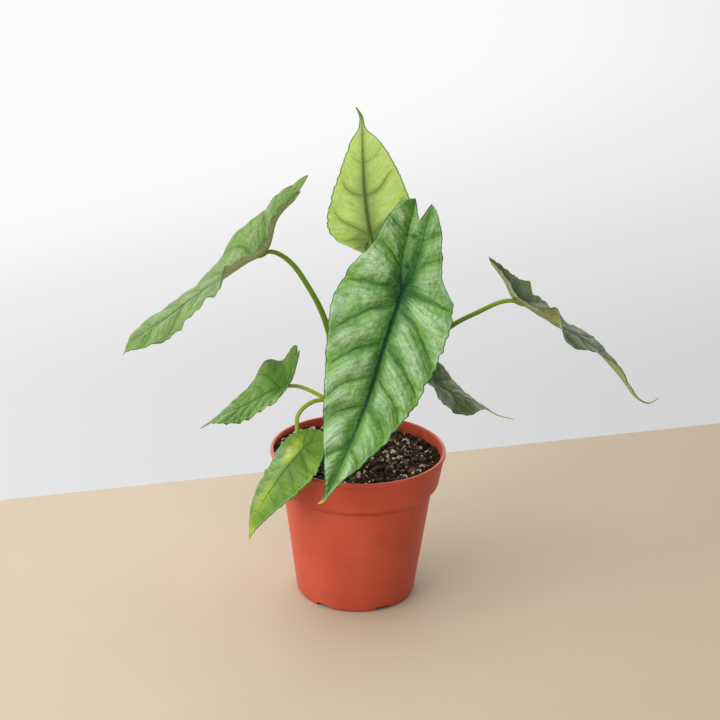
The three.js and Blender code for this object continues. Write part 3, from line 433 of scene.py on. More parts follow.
LEAF_COLOURS = {
    "front": {
        "upper": {
            "plain_corner": 1.0, "rib_width": 1.9, "rib": (0.008, 0.035, 0.014), "feathers": 15.0,
            "lobe_rib": 0.5, "green": (0.1, 0.25, 0.026), "silver_and_sheen": (0.42, 0.59, 0.34), "halo": 0.85,
            "silver_sheen_share": 0.88, "coat": 0.4,
        },
        "under": {},
    },
    "top": {
        "upper": {"through": 0.5, "green": (0.3, 0.5, 0.1), "fresh": (0.36, 0.56, 0.12)},
        # Its underside is painted far paler than its own colour, a painted glow in place of light shining
        # through it from behind
        "under": {
            "green": (0.68, 0.76, 0.33), "fresh": (0.74, 0.8, 0.39), "silver_and_sheen": (0.76, 0.82, 0.43),
            "vein": (0.2, 0.31, 0.06), "rib": (0.27, 0.4, 0.08), "margin": (0.3, 0.4, 0.1),
            "rim": (0.62, 0.72, 0.32), "through": 0.68, "tint": (1.76, 1.46, 2.7), "fine": 0.15,
            "deep": (0.36, 0.48, 0.14), "halo": 0.0, "core": 0.24, "rib_tip": (0.3, 0.42, 0.12),
            "rim_share": 0.1, "edge_share": 0.08, "tip": (0.26, 0.3, 0.1), "tip_start": 0.97,
        },
    },
    "left": {
        "upper": {
            "green": (0.115, 0.205, 0.034), "fresh": (0.15, 0.27, 0.03), "silver_and_sheen": (0.26, 0.35, 0.15),
            "silver_sheen_share": 0.75, "rough": 0.55, "coat": 0.05, "halo": 0.45, "rib_width": 1.2,
            "margin": (0.03, 0.1, 0.02), "rim": (0.1, 0.22, 0.05),
            "deep": (0.06, 0.16, 0.03), "rib": (0.03, 0.09, 0.03), "tip": (0.5, 0.36, 0.1),
        },
        "under": {
            "green": (0.62, 0.66, 0.34), "fresh": (0.6, 0.68, 0.3), "silver_and_sheen": (0.66, 0.68, 0.42),
            "vein": (0.4, 0.44, 0.2), "deep": (0.5, 0.52, 0.26), "rib": (0.4, 0.44, 0.12), "through": 0.36,
        },
    },
    "right": {
        "upper": {
            "green": (0.075, 0.105, 0.032), "fresh": (0.1, 0.14, 0.035), "silver_and_sheen": (0.15, 0.185, 0.085),
            "tip_start": 0.92, "rough": 0.55, "coat": 0.05, "fine": 0.12, "deep": (0.035, 0.065, 0.018),
            "rim": (0.05, 0.13, 0.025), "rim_share": 0.7, "margin": (0.02, 0.07, 0.012), "rib_width": 1.3,
            "tip": (0.42, 0.34, 0.07),
        },
        "under": {
            "green": (0.42, 0.44, 0.2), "fresh": (0.42, 0.46, 0.18), "silver_and_sheen": (0.48, 0.5, 0.28),
            "tip_start": 0.92, "fine": 0.0, "tip": (0.5, 0.4, 0.1),
        },
    },
    "small_left": {
        "upper": {
            "green": (0.115, 0.24, 0.032), "fresh": (0.15, 0.29, 0.028), "silver_and_sheen": (0.22, 0.34, 0.13),
            "silver_sheen_share": 0.5, "halo": 0.2, "core": 0.1, "fine": 0.5, "coat": 0.1, "rough": 0.5,
            "deep": (0.06, 0.16, 0.022), "rib": (0.05, 0.14, 0.025), "rib_width": 1.0,
            "tip": (0.26, 0.33, 0.05), "margin": (0.03, 0.1, 0.02), "rim": (0.12, 0.26, 0.04),
        },
        "under": {"fine": 0.2},
    },
    "over_rim": {
        "upper": {
            "green": (0.085, 0.195, 0.012), "fresh": (0.14, 0.28, 0.012), "silver_and_sheen": (0.2, 0.31, 0.065),
            "rib": (0.04, 0.11, 0.02), "vein": (0.03, 0.1, 0.015), "silver_sheen_share": 0.5, "sunny": 1.0,
            "halo": 0.15, "core": 0.06, "rib_width": 0.8, "fine": 0.4, "coat": 0.12, "rough": 0.44,
            "deep": (0.04, 0.11, 0.012), "rib_tip": (0.2, 0.26, 0.03), "margin": (0.05, 0.14, 0.012),
        },
        "under": {"fine": 0.2},
    },
    "small_right": {
        "upper": {
            "green": (0.07, 0.115, 0.028), "fresh": (0.09, 0.16, 0.03), "silver_and_sheen": (0.14, 0.18, 0.075),
            "silver_sheen_share": 0.45, "tip_start": 0.7, "halo": 0.15, "core": 0.25, "fine": 0.5, "coat": 0.1,
            "rough": 0.52, "deep": (0.045, 0.075, 0.022), "rib": (0.04, 0.07, 0.025), "rib_width": 1.1,
            "tip": (0.38, 0.32, 0.06), "margin": (0.03, 0.08, 0.015),
        },
        "under": {"tip_start": 0.7},
    },
}
SUNNY_YELLOW = (0.46, 0.56, 0.03)

# Yellow patches of the sunniest leaf as [across, along, half-width, half-length, strength]
SUNNY_SPOTS = [[7, 6, 9, 17, 1], [2, 46, 7, 18, 0.45]]

# Colours of the stalks
LARGE_STALK = {
    "foot": (0.26, 0.32, 0.07), "middle": (0.095, 0.21, 0.003), "top": (0.2, 0.33, 0.012),
    "streak": (0.07, 0.14, 0.005), "mottle": (0.22, 0.3, 0.035),
}
SMALL_STALK = {
    "foot": (0.34, 0.38, 0.1), "middle": (0.36, 0.47, 0.035), "top": (0.34, 0.46, 0.05),
    "streak": (0.22, 0.3, 0.03), "mottle": (0.42, 0.44, 0.12),
}
SMALL_STALK_RADIUS = 1.8

# Colours of the pot, the crown, the soil and the floor; the pot's foot and crease and the floor's right are
# painted shade
TERRACOTTA = {
    "plain": (0.5, 0.07, 0.034), "bright": (0.56, 0.088, 0.044), "flow": (0.62, 0.12, 0.065),
    "scuff": (0.68, 0.19, 0.11), "inside_dark": (0.035, 0.02, 0.013), "foot": (0.2, 0.03, 0.015),
    "painted_crease_shade": (0.12, 0.016, 0.008),
}
CROWN_SKIN = {"foot": (0.12, 0.075, 0.035), "top": (0.27, 0.3, 0.1), "fibre": (0.1, 0.06, 0.028)}
DAMP_SOIL = {
    "dark": (0.003, 0.0015, 0.0008), "light": (0.055, 0.03, 0.018), "crumb": (0.12, 0.068, 0.042),
    "fleck": (0.25, 0.17, 0.1),
}
BARK = {
    "dark": (0.005, 0.0025, 0.0015), "light": (0.14, 0.065, 0.035), "dark_fibre": (0.06, 0.032, 0.02),
    "light_fibre": (0.24, 0.13, 0.075),
}
PERLITE = {"dull": (0.72, 0.6, 0.34), "bright": (0.92, 0.88, 0.74), "stain": (0.2, 0.13, 0.07)}
TWIG = {"red": (0.2, 0.065, 0.035), "straw": (0.34, 0.24, 0.12), "fibre": (0.07, 0.03, 0.02)}
PALE_FLOOR = {"plain": (0.435, 0.352, 0.257), "cloud": (0.46, 0.374, 0.275), "right": (0.3, 0.228, 0.154)}


# Camera and lamps

def add_object(name, data):
    thing = bpy.data.objects.new(name, data)
    bpy.context.scene.collection.objects.link(thing)
    return thing


def make_camera():
    pitch = math.radians(CAMERA_PITCH_DEG)
    roll = math.radians(CAMERA_ROLL_DEG)
    ahead = Vector((0, math.cos(pitch), -math.sin(pitch)))
    level = Vector((1, 0, 0))
    upright = level.cross(ahead)
    right = level * math.cos(roll) + upright * math.sin(roll)
    up = upright * math.cos(roll) - level * math.sin(roll)
    data = bpy.data.cameras.new("camera")
    data.lens = CAMERA_LENS_MM
    data.sensor_width = CAMERA_SENSOR_MM
    camera = add_object("camera", data)
    matrix = Matrix((right, up, -ahead)).transposed().to_4x4()
    matrix.translation = CAMERA_PLACE
    camera.matrix_world = matrix
    bpy.context.scene.camera = camera


def add_light(name, place, size, power, colour):
    data = bpy.data.lights.new(name, "AREA")
    data.shape = "DISK"
    data.size = size
    data.energy = power
    data.color = colour
    light = add_object(name, data)
    light.location = place
    light.rotation_euler = (Vector(LIGHT_TARGET) - Vector(place)).to_track_quat("-Z", "Y").to_euler()


# Material nodes

class Value:
    """A number or colour that a node gives. Sums and products of such numbers are written as usual."""

    def __init__(self, nodes, socket):
        self.nodes = nodes
        self.socket = socket

    def __add__(self, other):
        return self.nodes.math("ADD", self, other)

    def __sub__(self, other):
        return self.nodes.math("SUBTRACT", self, other)

    def __rsub__(self, other):
        return self.nodes.math("SUBTRACT", other, self)

    def __mul__(self, other):
        return self.nodes.math("MULTIPLY", self, other)

    def __truediv__(self, other):
        return self.nodes.math("DIVIDE", self, other)

    def __pow__(self, other):
        return self.nodes.math("POWER", self, other)

    def __abs__(self):
        return self.nodes.math("ABSOLUTE", self)

    # The distance to the nearest whole number
    def from_whole(self):
        return self.nodes.math("PINGPONG", self, 0.5)

    # A smooth step from a start to an end while the value goes from low to high
    def step(self, low, high, start=0.0, end=1.0):
        inputs = {"Value": self, "From Min": low, "From Max": high, "To Min": start, "To Max": end}
        return self.nodes.read("ShaderNodeMapRange", "Result", inputs, interpolation_type="SMOOTHSTEP")

    # How near a line is, from 1 on it to 0 at its half-width
    def line(self, half_width):
        return self.step(0.0, half_width, 1.0, 0.0)


class Nodes:
    """The nodes of a material or of the world, added one step at a time."""

    def __init__(self, owner):
        owner.use_nodes = True
        self.owner = owner
        self.tree = owner.node_tree
        self.tree.nodes.clear()

    def feed(self, socket, value):
        if isinstance(value, Value):
            self.tree.links.new(value.socket, socket)
        elif isinstance(value, tuple):
            socket.default_value = (*value, 1)
        else:
            socket.default_value = value

    def add(self, kind, inputs, **settings):
        node = self.tree.nodes.new(kind)
        for key, value in settings.items():
            setattr(node, key, value)
        for key, value in inputs.items():
            self.feed(node.inputs[key], value)
        return node

    def read(self, kind, output, inputs, **settings):
        return Value(self, self.add(kind, inputs, **settings).outputs[output])

    def math(self, operation, first, second=0.0):
        return self.read("ShaderNodeMath", 0, {0: first, 1: second}, operation=operation)

    def mix(self, share, first, second, blend="MIX"):
        inputs = {"Factor": share, 6: first, 7: second}
        return self.read("ShaderNodeMix", 2, inputs, data_type="RGBA", blend_type=blend)

    # A colour with others laid over it in turn, each as [share, colour]
    def layers(self, colour, *layers):
        for share, shade in layers:
            colour = self.mix(share, colour, shade)
        return colour

    def noise(self, vector, size, detail=3.0, rough=0.55, warp=0.0):
        inputs = {"Vector": vector, "Scale": size, "Detail": detail, "Roughness": rough, "Distortion": warp}
        return self.read("ShaderNodeTexNoise", "Fac", inputs)

    def cells(self, vector, size, feature):
        inputs = {"Vector": vector, "Scale": size}
        return self.read("ShaderNodeTexVoronoi", "Distance", inputs, feature=feature)

    def attribute(self, name):
        node = self.add("ShaderNodeAttribute", {}, attribute_name=name, attribute_type="GEOMETRY")
        return self.parts(Value(self, node.outputs["Vector"]))

    def place(self):
        return self.read("ShaderNodeTexCoord", "Object", {})

    def parts(self, vector):
        node = self.add("ShaderNodeSeparateXYZ", {0: vector})
        return [Value(self, output) for output in node.outputs]

    def vector(self, x, y, z=0.0):
        return self.read("ShaderNodeCombineXYZ", 0, {0: x, 1: y, 2: z})

    def length(self, vector):
        return self.read("ShaderNodeVectorMath", "Value", {0: vector}, operation="LENGTH")

    def bump(self, height, depth):
        return self.read("ShaderNodeBump", "Normal", {"Height": height, "Distance": depth, "Strength": 1.0})

    def principled(self, colour, rough, normal, specular=0.5, **sockets):
        inputs = {"Base Color": colour, "Roughness": rough, "Normal": normal, "Specular IOR Level": specular}
        return self.read("ShaderNodeBsdfPrincipled", 0, {**inputs, **sockets})

    def finish(self, surface, kind="ShaderNodeOutputMaterial"):
        self.add(kind, {"Surface": surface})
        return self.owner


def new_material(name):
    return Nodes(bpy.data.materials.new(name))


class LeafLines:
    """The places on a leaf in millimetres, and how strongly each of its lines and spots shows there."""

    def __init__(self, nodes, colours):
        self.nodes = nodes
        self.across, self.along, self.margin = nodes.attribute("leaf_place")
        self.phase, self.gap, self.rib = nodes.attribute("leaf_vein")
        self.share, self.strength, self.bulge = nodes.attribute("leaf_tone")
        self.flat = nodes.vector(self.across, self.along)
        self.out = abs(self.across)
        self.inland = self.margin.step(0.6, 4.5)
        self.on_lobe = self.along.step(-16.0, -2.0, 1.0, 0.0)
        self.on_blade = self.on_lobe.step(0.0, 1.0, 1.0, WEAK_ON_LOBE)
        self.weaker = self.share.step(0.3, 0.85, 1.0, 0.3)
        self.corner = self.across.step(-14.0, -5.0, 1.0, 0.0) * self.share.step(0.34, 0.52)
        self.draw_side_veins()
        self.draw_fine_veins(colours["feathers"])
        self.draw_rib(colours["rib_width"])
        self.draw_sunny_spots()
        self.edge_band = self.band(1.3, 0.7)
        self.edge_vein = self.band(2.5, 0.5)
        self.edge = self.margin.step(0.45, 1.05, 1.0, 0.0)

    def draw_side_veins(self):
        reach = self.out / (self.out + self.margin + 0.01)
        clear = self.margin.step(0.8, 6.0) * self.strength
        side = self.phase.from_whole() * self.gap / reach.step(0.1, 0.95, 1.0, 0.25)
        self.side_halo = side.line(SIDE_HALO) * clear * self.on_blade
        self.side_core = side.line(SIDE_CORE) * clear

    # The second veins between side veins, the feathered marks across them and the net of the finest veins
    def draw_fine_veins(self, feathers):
        nodes = self.nodes
        wander = nodes.noise(self.flat, 0.11, 2.0)
        second = (self.phase * SECOND_VEINS + wander * 1.6).from_whole() * self.gap
        broken = nodes.noise(self.flat, 0.16, 3.0).step(0.36, 0.6)
        self.second = second.line(SECOND_HALO) * broken * self.margin.step(0.5, 5.0)
        feather = nodes.noise(nodes.vector(self.phase * feathers, self.out * 0.1), 1.0, 3.0, 0.6, 0.8)
        self.feather = (feather - 0.5) * self.inland + 0.5
        net = nodes.cells(nodes.vector(self.across, self.along * 0.75, wander), 0.5, "DISTANCE_TO_EDGE")
        self.net = net.line(NET_CORE) * self.inland

    # The midrib, and the dark heart round the stalk's seat, which is longer on the lobes
    def draw_rib(self, width):
        slim = self.share.step(0.25, 1.0, width, width * 0.35) * self.along.step(-12.0, 0.0, 0.42, 1.0)
        rib_share = self.rib / slim
        self.rib_core = rib_share.step(0.55, 1.15, 1.0, 0.0)
        self.rib_halo = rib_share.line(RIB_HALO) * self.on_blade
        drawn = self.nodes.vector(self.across, self.along * self.along.step(-1.0, 1.0, 0.4, 1.0))
        self.heart = self.nodes.length(drawn).line(HEART_RADIUS)

    def draw_sunny_spots(self):
        self.sunny = self.share.step(0.76, 0.96)
        for across, along, half_width, half_length, strength in SUNNY_SPOTS:
            x = (self.across - across) / half_width
            y = (self.along - along) / half_length
            distance = (x * x + y * y) ** 0.5
            self.sunny = self.sunny + distance.step(0.25, 1.15, 1.0, 0.0) * strength

    # A line along the margin at a distance inside it
    def band(self, distance, half_width):
        return abs(self.margin - distance).line(half_width)


def leaf_colour(nodes, lines, colours):
    patches = nodes.noise(lines.flat, 0.04, 3.0).step(0.42, 0.6)
    colour = nodes.mix(patches * colours["fresh_share"], colours["green"], colours["fresh"])
    if colours["sunny"]:
        uneven = nodes.noise(lines.flat, 0.09, 3.0).step(0.3, 0.55, 0.45, 1.0)
        colour = nodes.mix(nodes.math("MINIMUM", lines.sunny * uneven, 1.0), colour, SUNNY_YELLOW)
    # Silvery patches, most on the quilted bulges between veins: partly the leaf's own silver, partly painted
    # sheen
    cloudy = nodes.noise(lines.flat, 0.055, 5.0, 0.62).step(0.34, 0.64, 0.25, 1.0)
    silver_sheen_patches = cloudy * lines.bulge * colours["silver_sheen_share"]
    if colours["plain_corner"]:
        silver_sheen_patches = silver_sheen_patches * lines.corner.step(0.0, 1.0, 1.0, 0.45)
    silver_and_sheen, vein, deep, fine = (colours[key] for key in ("silver_and_sheen", "vein", "deep", "fine"))
    halo = lines.weaker * colours["halo"]
    rib = nodes.mix(lines.share.step(0.35, 0.9), colours["rib"], colours["rib_tip"])
    tip_start = colours["tip_start"]
    return nodes.layers(
        colour,
        (silver_sheen_patches, silver_and_sheen),
        # Light feather marks in the silver colour, which is partly painted sheen
        (lines.feather.step(0.5, 0.72, 0.0, 0.34 * fine), silver_and_sheen),
        (lines.feather.step(0.5, 0.28, 0.0, 0.28 * fine), deep),
        (lines.net * 0.16, vein),
        (lines.second * 0.28, deep),
        (lines.side_halo * halo, deep),
        (lines.side_core * colours["core"], vein),
        (lines.rib_halo * halo, deep),
        (lines.heart * halo, deep),
        (lines.heart**1.6 * halo, vein),
        (lines.rib_core * (lines.on_lobe * -colours["lobe_rib"] + 0.92), rib),
        (lines.edge_band * colours["rim_share"], colours["rim"]),
        (lines.edge_vein * colours["edge_share"], vein),
        (lines.edge * 0.85, colours["margin"]),
        (lines.share.step(tip_start, tip_start + 0.05), colours["tip"]),
    )


# Heights in millimetres: the veins sink, and the rest swings about the face and dies out at the margin
def leaf_relief(nodes, lines, fine):
    relief = lines.side_core * -0.35 + lines.second * (-0.25 * fine) + lines.net * (-0.1 * fine)
    for height, depth in (
        (lines.feather, 0.45 * fine),
        (nodes.noise(lines.flat, 0.12, 2.0), 4.0 * fine),
        (nodes.noise(lines.flat, 0.5, 2.0), 0.2),
    ):
        relief = relief + (height - 0.5) * depth
    return nodes.bump(relief * lines.margin.step(0.8, 4.0), MM)


def blade_material(name, colours):
    nodes = new_material(name)
    lines = LeafLines(nodes, colours)
    colour = leaf_colour(nodes, lines, colours)
    normal = leaf_relief(nodes, lines, colours["fine"])
    dull = nodes.math("MAXIMUM", lines.rib_core, lines.heart * 0.8)
    plain = colours["rough"]
    rough = nodes.noise(lines.flat, 0.15, 3.0).step(0.3, 0.7, plain - 0.06, plain + 0.08) + dull * 0.15
    coat = {"Coat Weight": (1.0 - dull) * colours["coat"], "Coat Roughness": 0.15}
    surface = nodes.principled(colour, rough, normal, 0.16, IOR=1.5, **coat)
    lit_through = nodes.mix(1.0, colour, colours["tint"], "MULTIPLY")
    through = nodes.read("ShaderNodeBsdfTranslucent", 0, {"Color": lit_through, "Normal": normal})
    return nodes.finish(nodes.read("ShaderNodeMixShader", 0, {0: colours["through"], 1: surface, 2: through}))


def stalk_material(name, colours):
    nodes = new_material(name)
    share, turn, length = nodes.attribute("stalk_place")
    streak = nodes.noise(nodes.vector(turn * 2.4, length * 0.05), 3.0, 4.0, 0.6)
    mottle = nodes.noise(nodes.vector(turn, length * 0.3), 1.2, 3.0)
    colour = nodes.layers(
        colours["foot"],
        (share.step(0.0, 0.35), colours["middle"]),
        (share.step(0.6, 1.0), colours["top"]),
        (streak.step(0.4, 0.65, 0.0, 0.5), colours["streak"]),
        (mottle.step(0.55, 0.75, 0.0, 0.3), colours["mottle"]),
    )
    normal = nodes.bump(streak, 0.15 * MM)
    return nodes.finish(nodes.principled(colour, 0.4, normal, 0.25, **{"Coat Weight": 0.06}))


def crown_material():
    nodes = new_material("crown_skin")
    x, y, z = nodes.parts(nodes.place())
    fibre = nodes.noise(nodes.vector(x * 3.0, y * 3.0, z), 260.0, 5.0, 0.65)
    colour = nodes.layers(
        CROWN_SKIN["foot"],
        (z.step(0.094, 0.103), CROWN_SKIN["top"]),
        (fibre.step(0.45, 0.65, 0.0, 0.7), CROWN_SKIN["fibre"]),
    )
    return nodes.finish(nodes.principled(colour, 0.65, nodes.bump(fibre, 0.5 * MM)))


# How dark the pot is made in patches on the inside of its collar, above the soil
def darkened_inside(nodes, place):
    x, y, z = nodes.parts(place)
    slope = (RIM_RADIUS - LIP_OVERHANG - COLLAR_RADIUS) / (POT_HEIGHT - LIP_HEIGHT - COLLAR_FOOT)
    outside = z * slope + (COLLAR_RADIUS - COLLAR_FOOT * slope) * MM
    inside = (outside - (x * x + y * y) ** 0.5).step(0.5 * MM, 1.0 * MM)
    collar = z.step(COLLAR_FOOT * MM, (COLLAR_FOOT + 3) * MM)
    low = z.step(0.094, 0.1035, 1.0, 0.0)
    splash = nodes.noise(place, 90.0, 6.0, 0.7).step(0.45, 0.62)
    return inside * collar * low * splash


def pot_material():
    nodes = new_material("terracotta_plastic")
    place = nodes.place()
    x, y, z = nodes.parts(place)
    cloud = nodes.noise(place, 28.0, 4.0, 0.55)
    flow = nodes.noise(nodes.vector(x, y, z * 0.12), 190.0, 3.0)
    scuffs = nodes.noise(nodes.vector(x, y, z * 7.0), 130.0, 5.0, 0.7).step(0.66, 0.74, 0.0, 0.25)
    # Painted shade: a dark line on the wall just under the collar's ledge
    painted_crease_shade = abs(z - (LEDGE_HEIGHT - 0.35) * MM).line(0.75 * MM)
    colour = nodes.layers(
        TERRACOTTA["plain"],
        (cloud.step(0.35, 0.65), TERRACOTTA["bright"]),
        (flow.step(0.5, 0.75, 0.0, 0.14), TERRACOTTA["flow"]),
        (scuffs, TERRACOTTA["scuff"]),
        (darkened_inside(nodes, place) * 0.8, TERRACOTTA["inside_dark"]),
        # Painted shade: the pot darker towards its foot, damping the light from the floor and the window lamp
        (z.step(0.0, 0.06, 0.16, 0.0), TERRACOTTA["foot"]),
        (painted_crease_shade * 0.7, TERRACOTTA["painted_crease_shade"]),
    )
    grain = nodes.noise(place, 1500.0, 3.0, 0.6)
    normal = nodes.bump(scuffs * 0.5 + grain, 0.04 * MM)
    return nodes.finish(nodes.principled(colour, cloud.step(0.3, 0.7, 0.42, 0.52), normal, 0.35, IOR=1.4))


def soil_material():
    nodes = new_material("damp_soil")
    place = nodes.place()
    lump = nodes.noise(place, 240.0, 6.0, 0.7)
    crumbs = nodes.cells(place, 700.0, "F1")
    fleck = nodes.noise(place, 900.0, 2.0).step(0.68, 0.74)
    colour = nodes.layers(
        DAMP_SOIL["dark"],
        (lump.step(0.4, 0.62), DAMP_SOIL["light"]),
        (crumbs.step(0.2, 0.5, 0.5, 0.0), DAMP_SOIL["crumb"]),
        (fleck * 0.7, DAMP_SOIL["fleck"]),
    )
    normal = nodes.bump(lump + crumbs * 0.6, 1.2 * MM)
    return nodes.finish(nodes.principled(colour, 0.85, normal, 0.05))


def chip_material():
    nodes = new_material("bark_chips")
    tone = nodes.attribute("grain_tone")[0]
    fibre = nodes.noise(nodes.place(), 500.0, 5.0, 0.7)
    pale = nodes.mix(tone, BARK["dark_fibre"], BARK["light_fibre"])
    colour = nodes.layers(BARK["dark"], (tone**2.0, BARK["light"]), (fibre.step(0.45, 0.7, 0.0, 0.8), pale))
    return nodes.finish(nodes.principled(colour, 0.75, nodes.bump(fibre, 0.5 * MM), 0.12))


def perlite_material():
    nodes = new_material("perlite")
    place = nodes.place()
    tone = nodes.attribute("grain_tone")[0]
    pits = nodes.cells(place, 1400.0, "F1")
    stain = nodes.noise(place, 420.0, 4.0).step(0.42, 0.66)
    colour = nodes.layers(PERLITE["dull"], (tone, PERLITE["bright"]), (stain * 0.6, PERLITE["stain"]))
    return nodes.finish(nodes.principled(colour, 0.8, nodes.bump(pits, 0.4 * MM)))


def twig_material():
    nodes = new_material("twigs")
    tone = nodes.attribute("grain_tone")[0]
    fibre = nodes.noise(nodes.place(), 700.0, 4.0)
    colour = nodes.layers(TWIG["red"], (tone, TWIG["straw"]), (fibre.step(0.4, 0.7), TWIG["fibre"]))
    return nodes.finish(nodes.principled(colour, 0.65, nodes.bump(fibre, 0.2 * MM)))


def floor_material():
    nodes = new_material("pale_floor")
    place = nodes.place()
    cloud = nodes.noise(place, 5.0, 4.0)
    colour = nodes.layers(
        PALE_FLOOR["plain"],
        (cloud.step(0.3, 0.7), PALE_FLOOR["cloud"]),
        # Painted shade: the floor darker and warmer towards the right
        (nodes.parts(place)[0].step(-0.1, 0.5, 0.0, 0.8), PALE_FLOOR["right"]),
    )
    return nodes.finish(nodes.principled(colour, 0.75, nodes.bump(nodes.noise(place, 900.0, 2.0), 0.05 * MM)))


# Plain soft light from all round, brighter on the left and from behind the plant
def make_world():
    nodes = Nodes(bpy.data.worlds.new("studio"))
    x, y, z = nodes.parts(nodes.read("ShaderNodeTexCoord", "Generated", {}))
    level = x * -0.46 + y.step(-0.6, 0.5, 0.48, 0.72) + z.step(-0.38, -0.2) * (x * -0.4 + 0.3)
    level = nodes.math("MINIMUM", nodes.math("MAXIMUM", level, 0.26), 0.97)
    above = z.step(0.0, 0.7) * (x * -0.25 + 0.25)
    behind = z.step(-0.02, 0.12) * z.step(0.35, 0.6, 2.3, 0.0) * y.step(0.2, 0.7)
    inputs = {"Color": (1.0, 1.0, 1.0), "Strength": level + above + behind}
    background = nodes.read("ShaderNodeBackground", 0, inputs)
    bpy.context.scene.world = nodes.finish(background, "ShaderNodeOutputWorld")


# Meshes

def smooth_shade(mesh, angle_deg):
    mesh.shade_smooth()
    mesh.set_sharp_from_angle(angle=math.radians(angle_deg))


def mesh_object(name, points, faces, materials, smooth_angle_deg=50):
    mesh = bpy.data.meshes.new(name)
    mesh.from_pydata([tuple(p) for p in np.asarray(points) * MM], [], faces)
    mesh.validate()
    for material in materials:
        mesh.materials.append(material)
    smooth_shade(mesh, smooth_angle_deg)
    return add_object(name, mesh)


def store(piece, name, values):
    attribute = piece.data.attributes.new(name, "FLOAT_VECTOR", "POINT")
    attribute.data.foreach_set("vector", np.asarray(values, dtype=np.float32).ravel())


def dress(piece, slot, *nodes):
    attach(piece, "root")
    if nodes:
        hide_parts(*nodes)


def round_turns(count):
    return [2 * math.pi * i / count for i in range(count)]


def ring_faces(rings, sides, flat_ends=False):
    faces = []
    for k in range(rings - 1):
        for i in range(sides):
            a = k * sides + i
            b = k * sides + (i + 1) % sides
            faces.append((a, b, b + sides, a + sides))
    if flat_ends:
        faces.append(tuple(reversed(range(sides))))
        faces.append(tuple(range((rings - 1) * sides, rings * sides)))
    return faces


def fanned_rings(points, sides, foot, top):
    """Rings of points and their faces, closed by a fan round a middle point at the foot and at the top."""
    faces = ring_faces(len(points) // sides, sides)
    middle, last = len(points), len(points) - sides
    for i in range(sides):
        j = (i + 1) % sides
        faces.append((middle, j, i))
        faces.append((middle + 1, last + i, last + j))
    return points + [(0, 0, foot), (0, 0, top)], faces


# Smooth curves

def hermite(start, end, slope_start, slope_end, w):
    return (
        (2 * w**3 - 3 * w**2 + 1) * start + (w**3 - 2 * w**2 + w) * slope_start
        + (3 * w**2 - 2 * w**3) * end + (w**3 - w**2) * slope_end
    )


# The heights of a smooth curve through knots of [position, height]
def read_curve(knots, positions):
    places, heights = np.array(knots, float).T
    slopes = np.gradient(heights, places)
    slopes[1:-1] = (heights[2:] - heights[:-2]) / (places[2:] - places[:-2])
    position = np.clip(positions, places[0], places[-1])
    i = np.clip(np.searchsorted(places, position) - 1, 0, len(places) - 2)
    span = places[i + 1] - places[i]
    w = (position - places[i]) / span
    return hermite(heights[i], heights[i + 1], slopes[i] * span, slopes[i + 1] * span, w)


# Rows of numbers blended smoothly at shares of the way from the first row to the last
def blend_rows(rows, shares):
    rows = np.array(rows, float)
    place = (len(rows) - 1) * np.asarray(shares)
    i = np.minimum(np.floor(place).astype(int), len(rows) - 2)
    before, start, end, after = (rows[np.clip(i + k, 0, len(rows) - 1)] for k in (-1, 0, 1, 2))
    return hermite(start, end, (end - before) / 2, (after - start) / 2, (place - i)[:, None])


def unit(vectors):
    return vectors / np.linalg.norm(vectors, axis=-1, keepdims=True)


class Curve:
    """A smooth curve through points, read at shares of its parameter or at lengths along it."""

    def __init__(self, points):
        points = np.array(points, float)
        first = 2 * points[0] - points[1]
        last = 2 * points[-1] - points[-2]
        self.points = np.vstack([first, points, last])
        self.spans = len(points) - 1
        self.shares = np.linspace(0, 1, SPAN_DIVISIONS * self.spans + 1)
        trail = self.at(self.shares)[0]
        steps = np.linalg.norm(np.diff(trail, axis=0), axis=1)
        self.lengths = np.concatenate([[0], np.cumsum(steps)])

    def share_at(self, lengths):
        return np.interp(lengths, self.lengths, self.shares)

    # Places and directions
    def at(self, shares):
        place = self.spans * np.asarray(shares, float)
        i = np.minimum(np.floor(place).astype(int), self.spans - 1)
        w = (place - i)[:, None]
        p0, p1, p2, p3 = (self.points[i + k] for k in range(4))
        pairs = ((p0, p1), (p1, p2), (p2, p3))
        d0, d1, d2 = (np.sqrt(np.linalg.norm(b - a, axis=1))[:, None] for a, b in pairs)
        start = ((p1 - p0) / d0 - (p2 - p0) / (d0 + d1) + (p2 - p1) / d1) * d1
        end = ((p2 - p1) / d1 - (p3 - p1) / (d1 + d2) + (p3 - p2) / d2) * d1
        ahead = (6 * w**2 - 6 * w) * (p1 - p2) + (3 * w**2 - 4 * w + 1) * start + (3 * w**2 - 2 * w) * end
        return hermite(p1, p2, start, end, w), unit(ahead)


# Leaves

def compass_vector(heading_deg, rise_deg):
    heading = math.radians(heading_deg)
    rise = math.radians(rise_deg)
    return [math.cos(heading) * math.cos(rise), math.sin(heading) * math.cos(rise), math.sin(rise)]


def rumble(positions, seed, size):
    """A repeatable wandering number between about -1 and 1 along a line."""
    return np.array([noise.noise(Vector((p / size, seed * 7.3, 0.5))) for p in positions]) * 2


def waves(rows, turns, phase):
    return sum(size * np.sin(rate * turns + shift * phase) for size, rate, shift in rows)


